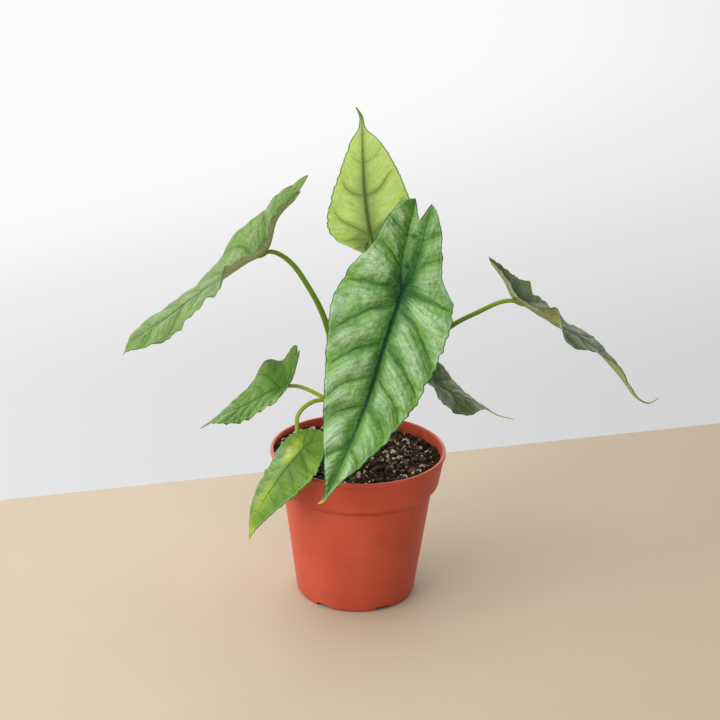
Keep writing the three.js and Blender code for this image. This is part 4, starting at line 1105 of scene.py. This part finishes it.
class Leaf:
    """A leaf's rows from the tip over the stalk's seat to the lobes' ends, and all that is known at them."""

    def __init__(self, name, data):
        self.name = name
        self.data = data
        self.seed = list(LEAVES).index(name) + 1
        self.relief = data.get("relief", 1) * max(data["widths"]) / FULL_RELIEF_WIDTH
        stations = data["stations"]
        self.curve = Curve([s[:3] for s in stations])
        self.seat_length = self.curve.lengths[SPAN_DIVISIONS * data["seat_station"]]
        self.blade_length = self.curve.lengths[-1] - self.seat_length
        self.turns = [compass_vector(*s[3:5]) + compass_vector(*s[5:7]) + s[7:9] for s in stations]
        self.place_rows()

    def place_rows(self):
        blade_rows, lobe_rows, _ = self.data["rows"]
        notch = self.data["cleft"][0][0]
        notch_row = round(lobe_rows * notch)
        blade = np.linspace(1, 0, blade_rows + 1)
        before_notch = np.linspace(0, notch, notch_row + 1)[1:]
        after_notch = np.linspace(notch, 1, lobe_rows - notch_row + 1)[1:]
        self.split_row = blade_rows + notch_row
        self.share = np.concatenate([blade, before_notch, after_notch])
        self.on_blade = np.arange(len(self.share)) <= blade_rows
        self.along = np.where(self.on_blade, self.blade_length, -self.seat_length) * self.share
        share = self.curve.share_at(self.seat_length + self.along)
        self.middle, self.ahead = self.curve.at(share)
        turns = blend_rows(self.turns, share)
        self.ribs = [unit(turns[:, 0:3]), unit(turns[:, 3:6])]
        self.curls = [np.radians(turns[:, 6]), np.radians(turns[:, 7])]
        self.ripple_turns = 2 * math.pi * self.data["ripples"] * self.along / self.blade_length

    def ripple_phase(self, side):
        return self.data["ripple_phase"] + (SIDE_PHASE if side == 0 else -SIDE_PHASE)

    # The half-width at each row, the cleft's half-width and the distance of the lobe's own rib
    def half_widths(self, side):
        full = self.data["widths"][side]
        jag = waves(JAGS, self.ripple_turns, self.ripple_phase(side))
        on_blade = read_curve(self.data["outlines"][side], self.share)
        on_lobe = read_curve(self.data["lobes"][side], self.share)
        smooth = full * np.where(self.on_blade, on_blade, on_lobe)
        waved = self.liveliness(side) * np.where(self.on_blade | (self.share < 1), jag, 0)
        outer = smooth * (1 + waved) + self.teeth(side) * np.clip(smooth / (TOOTHED_SHARE * full), 0, 1)
        rows = np.arange(len(self.share))
        inner = np.where(rows > self.split_row, full * read_curve(self.data["cleft"], self.share), 0)
        rib = np.minimum(full * VEIN_STRIP * np.tanh(self.share / 0.2), outer)
        rib = np.where(self.on_blade, 0, rib)
        outer = np.where(rows == len(rows) - 1, inner, outer)
        return outer[:, None], inner[:, None], rib[:, None]

    # How lively a half's margin is, where 1 is as waved as the rest of the leaf
    def liveliness(self, side):
        return self.data.get("liveliness", [1, 1])[side]

    # Small blunt teeth on the margin, each rising slowly and falling fast
    def teeth(self, side):
        seed = self.seed * 2 + side
        saw = np.mod(self.along / TOOTH_LENGTH + 1.1 * rumble(self.along, seed, 9), 1)
        tooth = np.where(saw < TOOTH_RISE, saw / TOOTH_RISE, (1 - saw) / (1 - TOOTH_RISE)) - 0.5
        size = self.data["teeth"] * self.liveliness(side)
        return size * (0.45 * tooth + 0.4 * rumble(self.along, seed + 40, 6))

    # How far the margin is waved up or down, at distances outside the rib
    def ripple(self, side, outside):
        wave = waves(RIPPLES, self.ripple_turns[:, None], self.ripple_phase(side))
        reach = np.minimum(outside / self.data["widths"][side], 1)
        fine = rumble(self.along, self.seed * 2 + side + 80, 4.5)[:, None]
        rippled = self.data["ripple_depth"] * reach**RIPPLE_REACH_POWER * wave
        return self.liveliness(side) * (rippled + 0.6 * self.data["teeth"] * reach**3 * fine)

    # Each spot's place between side veins, as a vein number, the gap between veins and their strength
    def vein_field(self, across, outer, rib):
        along = self.along[:, None]
        outside = np.maximum(across - rib, 0)
        width = np.maximum(outer, 1)
        reach = np.clip(across / width, 0, 1)
        bend = VEIN_BEND * self.data.get("vein_bend", 1)
        slope = VEIN_SLOPE * self.data.get("vein_slope", 1)
        arch = width * (slope * reach + bend * reach**3 / 3)
        veins = self.data.get("veins", BLADE_VEINS)
        lobe_veins = LOBE_VEINS[::-1]
        starts = [-(s * self.seat_length) - LOBE_VEIN_SLOPE * outside for s, _ in lobe_veins]
        starts.insert(0, starts[0] - BEYOND_LOBE_VEINS * self.seat_length)
        starts.append(np.zeros_like(across))
        starts += [s * self.blade_length + arch for s, _ in veins]
        starts.append(starts[-1] + BEYOND_BLADE_VEINS * self.blade_length)
        starts = np.stack(starts)
        first = len(lobe_veins) + 1
        shifted = along + self.wander(across)
        phase = np.full(across.shape, -float(first))
        for k in range(len(starts) - 1):
            phase += np.clip((shifted - starts[k]) / (starts[k + 1] - starts[k]), 0, 1)
        k = np.clip(np.floor(phase).astype(int) + first, 0, len(starts) - 2)
        gap = np.take_along_axis(starts, (k + 1)[None], 0)[0] - np.take_along_axis(starts, k[None], 0)[0]
        slope = np.where(along > 0, slope + bend * reach**2, LOBE_VEIN_SLOPE)
        strengths = [0, *(s for _, s in lobe_veins), SEAT_VEIN, *(s for _, s in veins), 0]
        nearest = np.clip(np.rint(phase).astype(int) + first, 0, len(strengths) - 1)
        return phase, gap / np.hypot(1, slope), np.array(strengths, float)[nearest]

    def wander(self, across):
        shifts = np.empty_like(across)
        for r, along in enumerate(self.along):
            for c, spot in enumerate(across[r]):
                where = Vector((along / WANDER_LENGTH, spot / WANDER_WIDTH, self.seed * 3.1))
                shifts[r, c] = noise.noise(where)
        return WANDER * shifts * np.clip(across / WANDER_START, 0, 1)

    # Lines of points and normals from the midrib out to the margin, at equal steps
    def fan_out(self, side, outer, rib):
        own, other = self.ribs[side], self.ribs[1 - side]
        turn = 1 if side == 0 else -1
        up = unit(np.cross(self.ahead, own) * turn)
        flat = unit(own - other)
        step = outer / RIB_STEPS
        trail = [self.middle]
        normals = []
        for k in range(RIB_STEPS + 1):
            outside = np.maximum((k + 0.5) * step - rib, 0)
            curl = self.curls[side][:, None] * outside / self.data["widths"][side]
            direction = own * np.cos(curl) + up * np.sin(curl)
            fold = np.exp(-outside / FOLD_REACH)
            direction = unit(direction * (1 - fold) + flat * fold)
            normals.append(unit(np.cross(self.ahead, direction) * turn))
            trail.append(trail[-1] + direction * step)
        return np.stack(trail[:-1], 1), np.stack(normals, 1)

    # The points and normals of a half's grid, read off the lines that fan out
    def read_fan(self, side, across, outer, rib):
        trail, normals = self.fan_out(side, outer, rib)
        spot = np.clip(across / np.maximum(outer, TINY), 0, 1) * RIB_STEPS
        k = np.minimum(np.floor(spot).astype(int), RIB_STEPS - 1)
        w = (spot - k)[..., None]
        row = np.arange(len(outer))[:, None]
        place, normal = (rows[row, k] * (1 - w) + rows[row, k + 1] * w for rows in (trail, normals))
        return place, unit(normal)

    # One half's points, with the numbers that its materials read
    def half(self, side):
        full = self.data["widths"][side]
        outer, inner, rib = self.half_widths(side)
        t = np.linspace(0, 1, self.data["rows"][2] + 1)
        spread = 0.6 * t + 0.4 * (0.5 - 0.5 * np.cos(math.pi * t))
        across = inner + (outer - inner) * spread
        place, normal = self.read_fan(side, across, outer, rib)
        phase, gap, strength = self.vein_field(across, outer, rib)
        rib_distance = np.abs(across - rib)
        near_vein = np.abs(phase - np.rint(phase)) * gap + (1 - strength) * 0.12 * full
        near = np.minimum(rib_distance, near_vein)
        bulge = 1 - np.exp(-((near / (QUILT_REACH * full)) ** 2))
        corrugation = np.abs(np.sin(math.pi * SECOND_VEINS * phase)) * np.clip(near / 4, 0, 1)
        middle = np.clip((across - inner) / np.maximum(outer - inner, TINY), 0, 1)
        arch = self.data.get("arch", 0) * outer / full * np.sin(math.pi * middle)
        quilt = self.relief * (QUILT_DEPTH * bulge + SECOND_DEPTH * corrugation)
        lift = arch + self.ripple(side, np.maximum(across - rib, 0)) + quilt
        split = (np.arange(len(outer)) > self.split_row)[:, None]
        margin = np.where(split, np.minimum(outer - across, across - inner), outer - across)
        share = np.where(self.on_blade, self.share, 0)
        return {
            "place": place + normal * lift[..., None],
            "across": across * (-1 if side == 0 else 1),
            "along": np.broadcast_to(self.along[:, None], across.shape),
            "share": np.broadcast_to(share[:, None], across.shape),
            "margin": margin, "phase": phase, "gap": gap, "rib": rib_distance,
            "strength": strength, "bulge": bulge,
        }

    # The corner numbers of both halves' grids, which share the midrib up to the cleft
    def grid(self):
        rows = len(self.share)
        columns = self.data["rows"][2] + 1
        corners = np.arange(2 * rows * columns).reshape(2, rows, columns)
        corners[1, : self.split_row + 1, 0] = corners[0, : self.split_row + 1, 0]
        corners[:, 0, :] = corners[0, 0, 0]
        for side in (0, 1):
            corners[side, -1, :] = corners[side, -1, 0]
        return corners


def sheet_faces(corners):
    faces = []
    for side in (0, 1):
        a = corners[side, :-1, :-1].ravel()
        b = corners[side, :-1, 1:].ravel()
        d = corners[side, 1:, :-1].ravel()
        e = corners[side, 1:, 1:].ravel()
        quads = np.stack([a, b, e, d] if side == 0 else [a, d, e, b], 1)
        faces += [tuple(dict.fromkeys(q)) for q in quads.tolist()]
    return [f for f in faces if len(f) > 2]


def vertex_normals(points, faces):
    normals = np.zeros_like(points)
    for size in (3, 4):
        some = np.array([f for f in faces if len(f) == size])
        p = points[some]
        normal = np.cross(p[:, 2] - p[:, 0], p[:, -1] - p[:, 1])
        for corner in range(size):
            np.add.at(normals, some[:, corner], normal)
    return unit(normals)


# Edges that only one face has, as that face runs along them
def open_edges(faces):
    edges = {(f[i], f[(i + 1) % len(f)]) for f in faces for i in range(len(f))}
    return [(a, b) for a, b in sorted(edges) if (b, a) not in edges]


# How far the two faces lie from the middle of the blade, with the midrib and veins raised underneath
def face_distances(spots):
    share, rib, margin = spots["share"], spots["rib"], spots["margin"]
    taper = np.clip(margin / MARGIN_TAPER, 0, 1) ** 0.5
    inland = np.clip(margin / 2, 0, 1)
    half = (MARGIN_THICKNESS + (BLADE_THICKNESS - MARGIN_THICKNESS) * taper) / 2
    rib_height = RIB_RISE * (1 - 0.75 * share) * np.exp(-((rib / RIB_SPREAD) ** 2))
    vein_distance = np.abs(spots["phase"] - np.rint(spots["phase"])) * spots["gap"]
    vein_height = VEIN_RISE * spots["strength"] * np.exp(-((vein_distance / VEIN_SPREAD) ** 2)) * taper
    groove = GROOVE_DEPTH * (1 - 0.6 * share) * np.exp(-((rib / GROOVE_SPREAD) ** 2)) * inland
    return half - groove, half + np.maximum(rib_height, vein_height) * inland


def make_blade(leaf):
    name = leaf.name
    halves = [leaf.half(side) for side in (0, 1)]
    faces = sheet_faces(leaf.grid())
    kept = np.unique(np.concatenate(faces))
    lookup = {old: new for new, old in enumerate(kept.tolist())}
    faces = [tuple(lookup[c] for c in f) for f in faces]
    spots = {
        key: np.stack([half[key] for half in halves]).reshape(-1, *halves[0][key].shape[2:])[kept]
        for key in halves[0]
    }
    points = spots["place"]
    normals = vertex_normals(points, faces)
    above, below = face_distances(spots)
    both_faces = np.vstack([points + normals * above[:, None], points - normals * below[:, None]])
    count = len(points)
    under = [tuple(c + count for c in reversed(f)) for f in faces]
    rim = [(b, a, a + count, b + count) for a, b in open_edges(faces)]
    blade = mesh_object(f"blade_{name}_leaf", both_faces, faces + under + rim, [
        blade_material(f"blade_{name}_upper", {**UPPER, **LEAF_COLOURS[name]["upper"]}),
        blade_material(f"blade_{name}_under", {**UNDER, **LEAF_COLOURS[name]["under"]}),
    ])
    slots = np.repeat(np.array([0, 1, 0], np.int32), [len(faces), len(under), len(rim)])
    blade.data.polygons.foreach_set("material_index", slots)
    for attribute, keys in BLADE_ATTRIBUTES.items():
        store(blade, attribute, np.tile(np.stack([spots[key] for key in keys], 1), (2, 1)))
    dress(blade, "leaf_blade", f"blade_{name}")


# Stalks

def tube(centres, radii, sides):
    ahead = unit(np.gradient(centres, axis=0))
    across = Vector(ahead[0]).orthogonal().normalized()
    points = []
    for centre, direction, radius in zip(centres, ahead, radii):
        direction = Vector(direction)
        across = (across - direction * across.dot(direction)).normalized()
        third = direction.cross(across)
        for turn in round_turns(sides):
            points.append(Vector(centre) + (across * math.cos(turn) + third * math.sin(turn)) * radius)
    return np.array([tuple(p) for p in points]), ring_faces(len(centres), sides, flat_ends=True)


# The stalk runs under the seat and a little way along the midrib, where it thins out
def stalk_route(leaf):
    data = leaf.data
    seat = int(np.argmin(np.abs(leaf.along)))
    up = unit(np.cross(leaf.ribs[1][seat] - leaf.ribs[0][seat], leaf.ahead[seat]))
    route = [np.array(p, float) for p in data["stalk"]]
    sunk = data["stalk_radii"][1] + 0.4
    route[-2] = route[-2] - up * 0.5
    route[-1] = route[-1] - up * sunk
    for length, depth in ((STALK_RUN / 2, sunk - 0.35), (STALK_RUN, 0.7)):
        beyond = int(np.argmin(np.abs(leaf.along - length)))
        route.append(leaf.middle[beyond] - up * depth)
    return route


def make_stalk(leaf, material):
    curve = Curve(stalk_route(leaf))
    length = curve.lengths[-1]
    places = np.linspace(0, length, STALK_STEPS + 1)
    centres = curve.at(curve.share_at(places))[0]
    foot, top = leaf.data["stalk_radii"]
    share = np.clip(places / (length - STALK_RUN), 0, 1)
    radii = top + (foot - top) * (1 - share) ** STALK_TAPER_POWER
    radii = radii * (1 + 0.025 * rumble(places, leaf.seed + 20, 11))
    radii = radii * np.interp(places, [0, length - STALK_RUN - 2, length - 5, length], [1, 1, 0.6, 0.2])
    points, faces = tube(centres, radii, STALK_SIDES)
    stalk = mesh_object(f"stalk_{leaf.name}_tube", points, faces, [material])
    turn = np.abs(np.linspace(-math.pi, math.pi, STALK_SIDES, endpoint=False))
    store(stalk, "stalk_place", [(s, a, p) for s, p in zip(share, places) for a in turn])
    dress(stalk, "leaf_stalk", f"stalk_{leaf.name}")


# Crown

def make_crown(material):
    points = []
    for share in np.linspace(0, 1, CROWN_RINGS).tolist():
        z = CROWN_FOOT + (CROWN_TOP - CROWN_FOOT) * share
        body = math.sin(math.pi * min(0.16 + share * 0.62, 1)) ** 0.6
        shrink = 1 - 0.5 * max(share - 0.8, 0) / 0.2
        for turn in round_turns(CROWN_SIDES):
            direction = Vector((math.cos(turn), math.sin(turn), share * 3))
            lump = 0.06 * noise.noise(direction * 2.3) + 0.05 * noise.noise(direction * 6)
            scar = 0.035 * math.sin(share * 34 + 2.2 * noise.noise(direction * 1.4))
            r = CROWN_RADIUS * 0.93 * body * shrink * (1 + lump + scar)
            points.append((CROWN_PLACE[0] + r * math.cos(turn), CROWN_PLACE[1] + r * math.sin(turn), z))
    faces = ring_faces(CROWN_RINGS, CROWN_SIDES, flat_ends=True)
    dress(mesh_object("crown_stem", points, faces, [material]), "crown_skin", "crown")


# Pot

def rounded(profile):
    """A profile with its corners rounded. A point is [radius, height, how far to round]."""
    smooth = []
    for i, (r, z, rounding) in enumerate(profile):
        here = Vector((r, z))
        if rounding == 0 or i in (0, len(profile) - 1):
            smooth.append((r, z))
            continue
        back = Vector(profile[i - 1][:2]) - here
        ahead = Vector(profile[i + 1][:2]) - here
        start = here + back.normalized() * min(rounding, back.length * 0.45)
        end = here + ahead.normalized() * min(rounding, ahead.length * 0.45)
        for k in range(CORNER_STEPS + 1):
            w = k / CORNER_STEPS
            smooth.append(tuple(start * (1 - w) ** 2 + here * 2 * w * (1 - w) + end * w**2))
    return smooth


def pot_profile():
    lip_foot = POT_HEIGHT - LIP_HEIGHT
    collar_top = RIM_RADIUS - LIP_OVERHANG
    return rounded([
        [0, 0, 0], [BASE_RADIUS - 6, 0, 0.5], [BASE_RADIUS, 0, BASE_ROUND],
        [SHOULDER_RADIUS + 0.1, LEDGE_HEIGHT - 0.2, 0.2], [SHOULDER_RADIUS + 1.1, LEDGE_HEIGHT, 0.25],
        [COLLAR_RADIUS - 0.2, COLLAR_FOOT - 0.8, 1.2], [COLLAR_RADIUS + 0.1, COLLAR_FOOT + 1.2, 1.0],
        [collar_top, lip_foot - 0.5, 0.3], [RIM_RADIUS, lip_foot + 0.3, 0.6],
        [RIM_RADIUS, POT_HEIGHT, 1.0], [RIM_RADIUS - 2.1, POT_HEIGHT, 0.8],
        [collar_top - POT_WALL - 0.2, POT_HEIGHT - 2, 1.2], [COLLAR_RADIUS - POT_WALL, COLLAR_FOOT + 1, 2],
        [SHOULDER_RADIUS - POT_WALL, SHOULDER_HEIGHT + 0.5, 2],
        [BASE_RADIUS - POT_WALL, FLOOR_THICKNESS, 1.5], [0, FLOOR_THICKNESS, 0],
    ])


def drain_cutter():
    points, faces = [], []
    corners = [(x, y, z) for z in (-1, 1) for y in (-1, 1) for x in (-1, 1)]
    sides = [(0, 2, 3, 1), (4, 5, 7, 6), (0, 1, 5, 4), (2, 6, 7, 3), (0, 4, 6, 2), (1, 3, 7, 5)]
    for i in range(DRAIN_COUNT):
        turn = math.radians(FIRST_DRAIN_DEG + 360 / DRAIN_COUNT * i)
        faces += [tuple(len(points) + c for c in side) for side in sides]
        for x, y, z in corners:
            out = BASE_RADIUS + x * DRAIN_DEPTH
            wide = y * DRAIN_WIDTH / 2 * (1 - 0.12 * (z > 0))
            points.append((out * math.cos(turn) - wide * math.sin(turn),
                           out * math.sin(turn) + wide * math.cos(turn), z * DRAIN_HEIGHT))
    return mesh_object("drains", points, faces, [])


def make_pot(material):
    profile = pot_profile()
    points = [(r * math.cos(t), r * math.sin(t), z) for r, z in profile[1:-1] for t in round_turns(POT_SIDES)]
    points, faces = fanned_rings(points, POT_SIDES, profile[0][1], profile[-1][1])
    pot = mesh_object("nursery_pot", points, faces, [material])
    cutter = drain_cutter()
    cut = pot.modifiers.new("drains", "BOOLEAN")
    cut.operation = "DIFFERENCE"
    cut.object = cutter
    cut.solver = "EXACT"
    graph = bpy.context.evaluated_depsgraph_get()
    pot.data = bpy.data.meshes.new_from_object(pot.evaluated_get(graph))
    pot.modifiers.clear()
    bpy.data.objects.remove(cutter)
    smooth_shade(pot.data, 40)
    dress(pot, "terracotta_plastic", "pot")


# Soil

INNER_HEIGHTS = [FLOOR_THICKNESS, SHOULDER_HEIGHT + 0.5, COLLAR_FOOT + 1, POT_HEIGHT]
INNER_RADII = [r - POT_WALL for r in (BASE_RADIUS, SHOULDER_RADIUS, COLLAR_RADIUS, RIM_RADIUS - LIP_OVERHANG)]


def inner_radius(z):
    return float(np.interp(z, INNER_HEIGHTS, INNER_RADII))


def soil_height(x, y):
    lumps = math.sin(x * 0.31 + 1.3) * math.cos(y * 0.27 - 0.4) + 0.6 * math.sin(x * 0.63 - y * 0.52 + 2)
    fine = noise.fractal(Vector((x * 0.22, y * 0.22, 3)), 0.8, 2.1, 4)
    crumbs = noise.fractal(Vector((x * 0.9, y * 0.9, 9)), 0.7, 2.0, 3)
    piled = SOIL_PILE * (x / RIM_RADIUS) ** 2
    return SOIL_HEIGHT - SOIL_FALL_PER_MM * x + piled + 0.75 * lumps + 0.7 * fine + 0.55 * crumbs


def make_soil_bed(material):
    turns = round_turns(SOIL_SPOKES)
    points = []
    for z in (FLOOR_THICKNESS + SEAT_GAP, *INNER_HEIGHTS[1:3]):
        r = inner_radius(z) - SEAT_GAP
        points += [(r * math.cos(t), r * math.sin(t), z) for t in turns]
    reach = inner_radius(SOIL_HEIGHT)
    edge_heights = [soil_height(reach * math.cos(t), reach * math.sin(t)) - SOIL_EDGE_DROP for t in turns]
    edges = [inner_radius(height) - SEAT_GAP for height in edge_heights]
    for k in range(SOIL_RINGS):
        for t, edge in zip(turns, edges):
            r = edge * (1 - k / SOIL_RINGS)
            x, y = r * math.cos(t), r * math.sin(t)
            points.append((x, y, soil_height(x, y) - (SOIL_EDGE_DROP if k == 0 else 0)))
    points, faces = fanned_rings(points, SOIL_SPOKES, FLOOR_THICKNESS + SEAT_GAP, soil_height(0, 0))
    dress(mesh_object("soil_bed", points, faces, [material], 80), "potting_mix", "soil")


def ball(levels):
    """A round ball's points and triangles, from a twenty-sided solid split again and again."""
    g = (1 + 5**0.5) / 2
    points = [
        (-1, g, 0), (1, g, 0), (-1, -g, 0), (1, -g, 0), (0, -1, g), (0, 1, g),
        (0, -1, -g), (0, 1, -g), (g, 0, -1), (g, 0, 1), (-g, 0, -1), (-g, 0, 1),
    ]
    faces = [
        (0, 11, 5), (0, 5, 1), (0, 1, 7), (0, 7, 10), (0, 10, 11), (1, 5, 9), (5, 11, 4), (11, 10, 2),
        (10, 7, 6), (7, 1, 8), (3, 9, 4), (3, 4, 2), (3, 2, 6), (3, 6, 8), (3, 8, 9), (4, 9, 5),
        (2, 4, 11), (6, 2, 10), (8, 6, 7), (9, 8, 1),
    ]
    points = [np.array(p) / math.hypot(1, g) for p in points]
    for _ in range(levels):
        middles = {}
        finer = []

        def middle(a, b):
            key = (min(a, b), max(a, b))
            if key not in middles:
                middles[key] = len(points)
                points.append(unit(points[a] + points[b]))
            return middles[key]

        for a, b, c in faces:
            ab, bc, ca = middle(a, b), middle(b, c), middle(c, a)
            finer += [(a, ab, ca), (b, bc, ab), (c, ca, bc), (ab, bc, ca)]
        faces = finer
    return np.array(points), faces


def turned_axes(random, tilt):
    """Three directions at right angles, turned about the vertical and tilted by up to some degrees."""
    heading = random.uniform(0, 2 * math.pi)
    lean = math.radians(random.uniform(-tilt, tilt))
    roll = math.radians(random.uniform(-tilt, tilt))
    turns = ((heading, "Z"), (lean, "Y"), (roll, "X"))
    first, second, third = (Matrix.Rotation(angle, 3, axis) for angle, axis in turns)
    return np.array(first @ second @ third)


def join_pieces(name, shapes, tones, materials, smooth_angle_deg=50):
    """One loose piece of the soil, made of many [points, faces], with the tones that its material reads."""
    points, faces, grain_tones = [], [], []
    for (shape_points, shape_faces), tone in zip(shapes, tones):
        faces += [tuple(len(points) + c for c in face) for face in shape_faces]
        points += shape_points.tolist()
        grain_tones += [tone] * len(shape_points)
    piece = mesh_object(name, points, faces, materials, smooth_angle_deg)
    store(piece, "grain_tone", grain_tones)
    dress(piece, "potting_mix")


def scatter(name, lumps, material, roughness, tilt, seed):
    """Lumps as [x, y, size along three directions, share of the height by which it is raised]."""
    random = np.random.default_rng(seed)
    round_points, round_faces = ball(LUMP_LEVELS)
    shapes, tones = [], []
    for x, y, size, raised in lumps:
        shift = random.uniform(-50, 50, 3)
        coarse = np.array([noise.noise(Vector(p * 1.4 + shift)) for p in round_points])
        fine = np.array([noise.noise(Vector(p * 3.5 + shift)) for p in round_points])
        swell = 1 + roughness * coarse + 0.4 * roughness * fine
        place = np.array((x, y, soil_height(x, y) + size[2] * raised))
        lump = round_points * swell[:, None] * np.array(size) / 2
        shapes.append((lump @ turned_axes(random, tilt).T + place, round_faces))
        tones.append((random.uniform(0, 1), random.uniform(0, 1), 0))
    join_pieces(name, shapes, tones, [material], 35)


def soil_spot(random, reach, right=0.0):
    """A random spot on the soil, clear of the wall and of the crown."""
    while True:
        turn = random.uniform(0, 2 * math.pi)
        r = (inner_radius(SOIL_HEIGHT) - reach) * math.sqrt(random.uniform(0, 1))
        x, y = r * math.cos(turn), r * math.sin(turn)
        if math.hypot(x - CROWN_PLACE[0], y - CROWN_PLACE[1]) < CROWN_RADIUS + 2:
            continue
        if random.uniform(0, 1) < right * (0.5 - x / 110):
            continue
        return x, y


def make_chips(material):
    random = np.random.default_rng(11)
    lumps = []
    for _ in range(CHIP_COUNT):
        x, y = soil_spot(random, 5)
        long = random.uniform(1.6, 4.2) + 4 * random.uniform(0, 1) ** 6
        size = (long, long * random.uniform(0.4, 0.75), long * random.uniform(0.18, 0.45))
        lumps.append((x, y, size, 0.25))
    lumps += [(x, y, size, 0.4) for x, y, *size in BARK_PIECES]
    scatter("soil_chips", lumps, material, 0.75, 28, 12)


def make_perlite(material):
    random = np.random.default_rng(21)
    wall = inner_radius(SOIL_HEIGHT) - 3
    spots = [(*soil_spot(random, 4, 0.8), SPREAD_PERLITE_SIZE) for _ in range(SPREAD_PERLITE_COUNT)]
    for x, y, spread, count, size in PERLITE_CLUSTERS:
        for _ in range(count):
            spots.append((x + random.normal(0, spread), y + random.normal(0, spread), size))
    lumps = []
    for x, y, size in spots:
        out = math.hypot(x, y)
        if out > wall:
            x, y = x * wall / out, y * wall / out
        long = size * (random.uniform(0.9, 2.0) + 1.4 * random.uniform(0, 1) ** 5)
        size = (long, long * random.uniform(0.7, 1), long * random.uniform(0.6, 0.9))
        lumps.append((x, y, size, 0.35))
    scatter("soil_perlite", lumps, material, 0.7, 90, 22)


def make_twigs(material):
    random = np.random.default_rng(31)
    shapes, tones = [], []
    steps = np.linspace(-0.5, 0.5, len(TWIG_TAPER))
    for _ in range(TWIG_COUNT):
        x, y = soil_spot(random, 9)
        heading = random.uniform(0, 2 * math.pi)
        length = random.uniform(3, 8)
        radius = random.uniform(0.18, 0.42)
        bend = random.uniform(-0.8, 0.8)
        xs = x + steps * length * math.cos(heading) - bend * steps**2 * length * math.sin(heading)
        ys = y + steps * length * math.sin(heading) + bend * steps**2 * length * math.cos(heading)
        base = max(soil_height(a, b) for a, b in zip(xs, ys))
        zs = base + radius * 0.6 + random.uniform(-0.05, 0.16) * steps * length
        shapes.append(tube(np.stack([xs, ys, zs], 1), radius * np.array(TWIG_TAPER), TWIG_SIDES))
        tones.append((random.uniform(0, 1), 0, 0))
    join_pieces("soil_twigs", shapes, tones, [material])


# The floor's far edge lies on a slant behind the pot, and beyond it is plain light
def make_floor(material):
    rise = FLOOR_EDGE_SLOPE * FLOOR_REACH
    floor = mesh_object("floor", [
        (-FLOOR_REACH, -FLOOR_REACH, 0), (FLOOR_REACH, -FLOOR_REACH, 0),
        (FLOOR_REACH, FLOOR_EDGE + rise, 0), (-FLOOR_REACH, FLOOR_EDGE - rise, 0),
    ], [(0, 1, 2, 3)], [material])


make_camera()
bpy.context.scene.view_settings.view_transform = "Standard"
make_world()
add_light("key", (-1.5, -1.2, 1.5), 2.3, 37, (1, 0.985, 0.96))
add_light("window", (-1.9, -0.1, 0.9), 1.5, 7.5, (1, 1, 1))
make_floor(floor_material())
make_pot(pot_material())
make_soil_bed(soil_material())
make_chips(chip_material())
make_perlite(perlite_material())
make_twigs(twig_material())
make_crown(crown_material())
large_stalk_skin = stalk_material("large_stalk_skin", LARGE_STALK)
small_stalk_skin = stalk_material("small_stalk_skin", SMALL_STALK)
for leaf_name, leaf_data in LEAVES.items():
    leaf = Leaf(leaf_name, leaf_data)
    make_blade(leaf)
    small = leaf_data["stalk_radii"][0] < SMALL_STALK_RADIUS
    make_stalk(leaf, small_stalk_skin if small else large_stalk_skin)
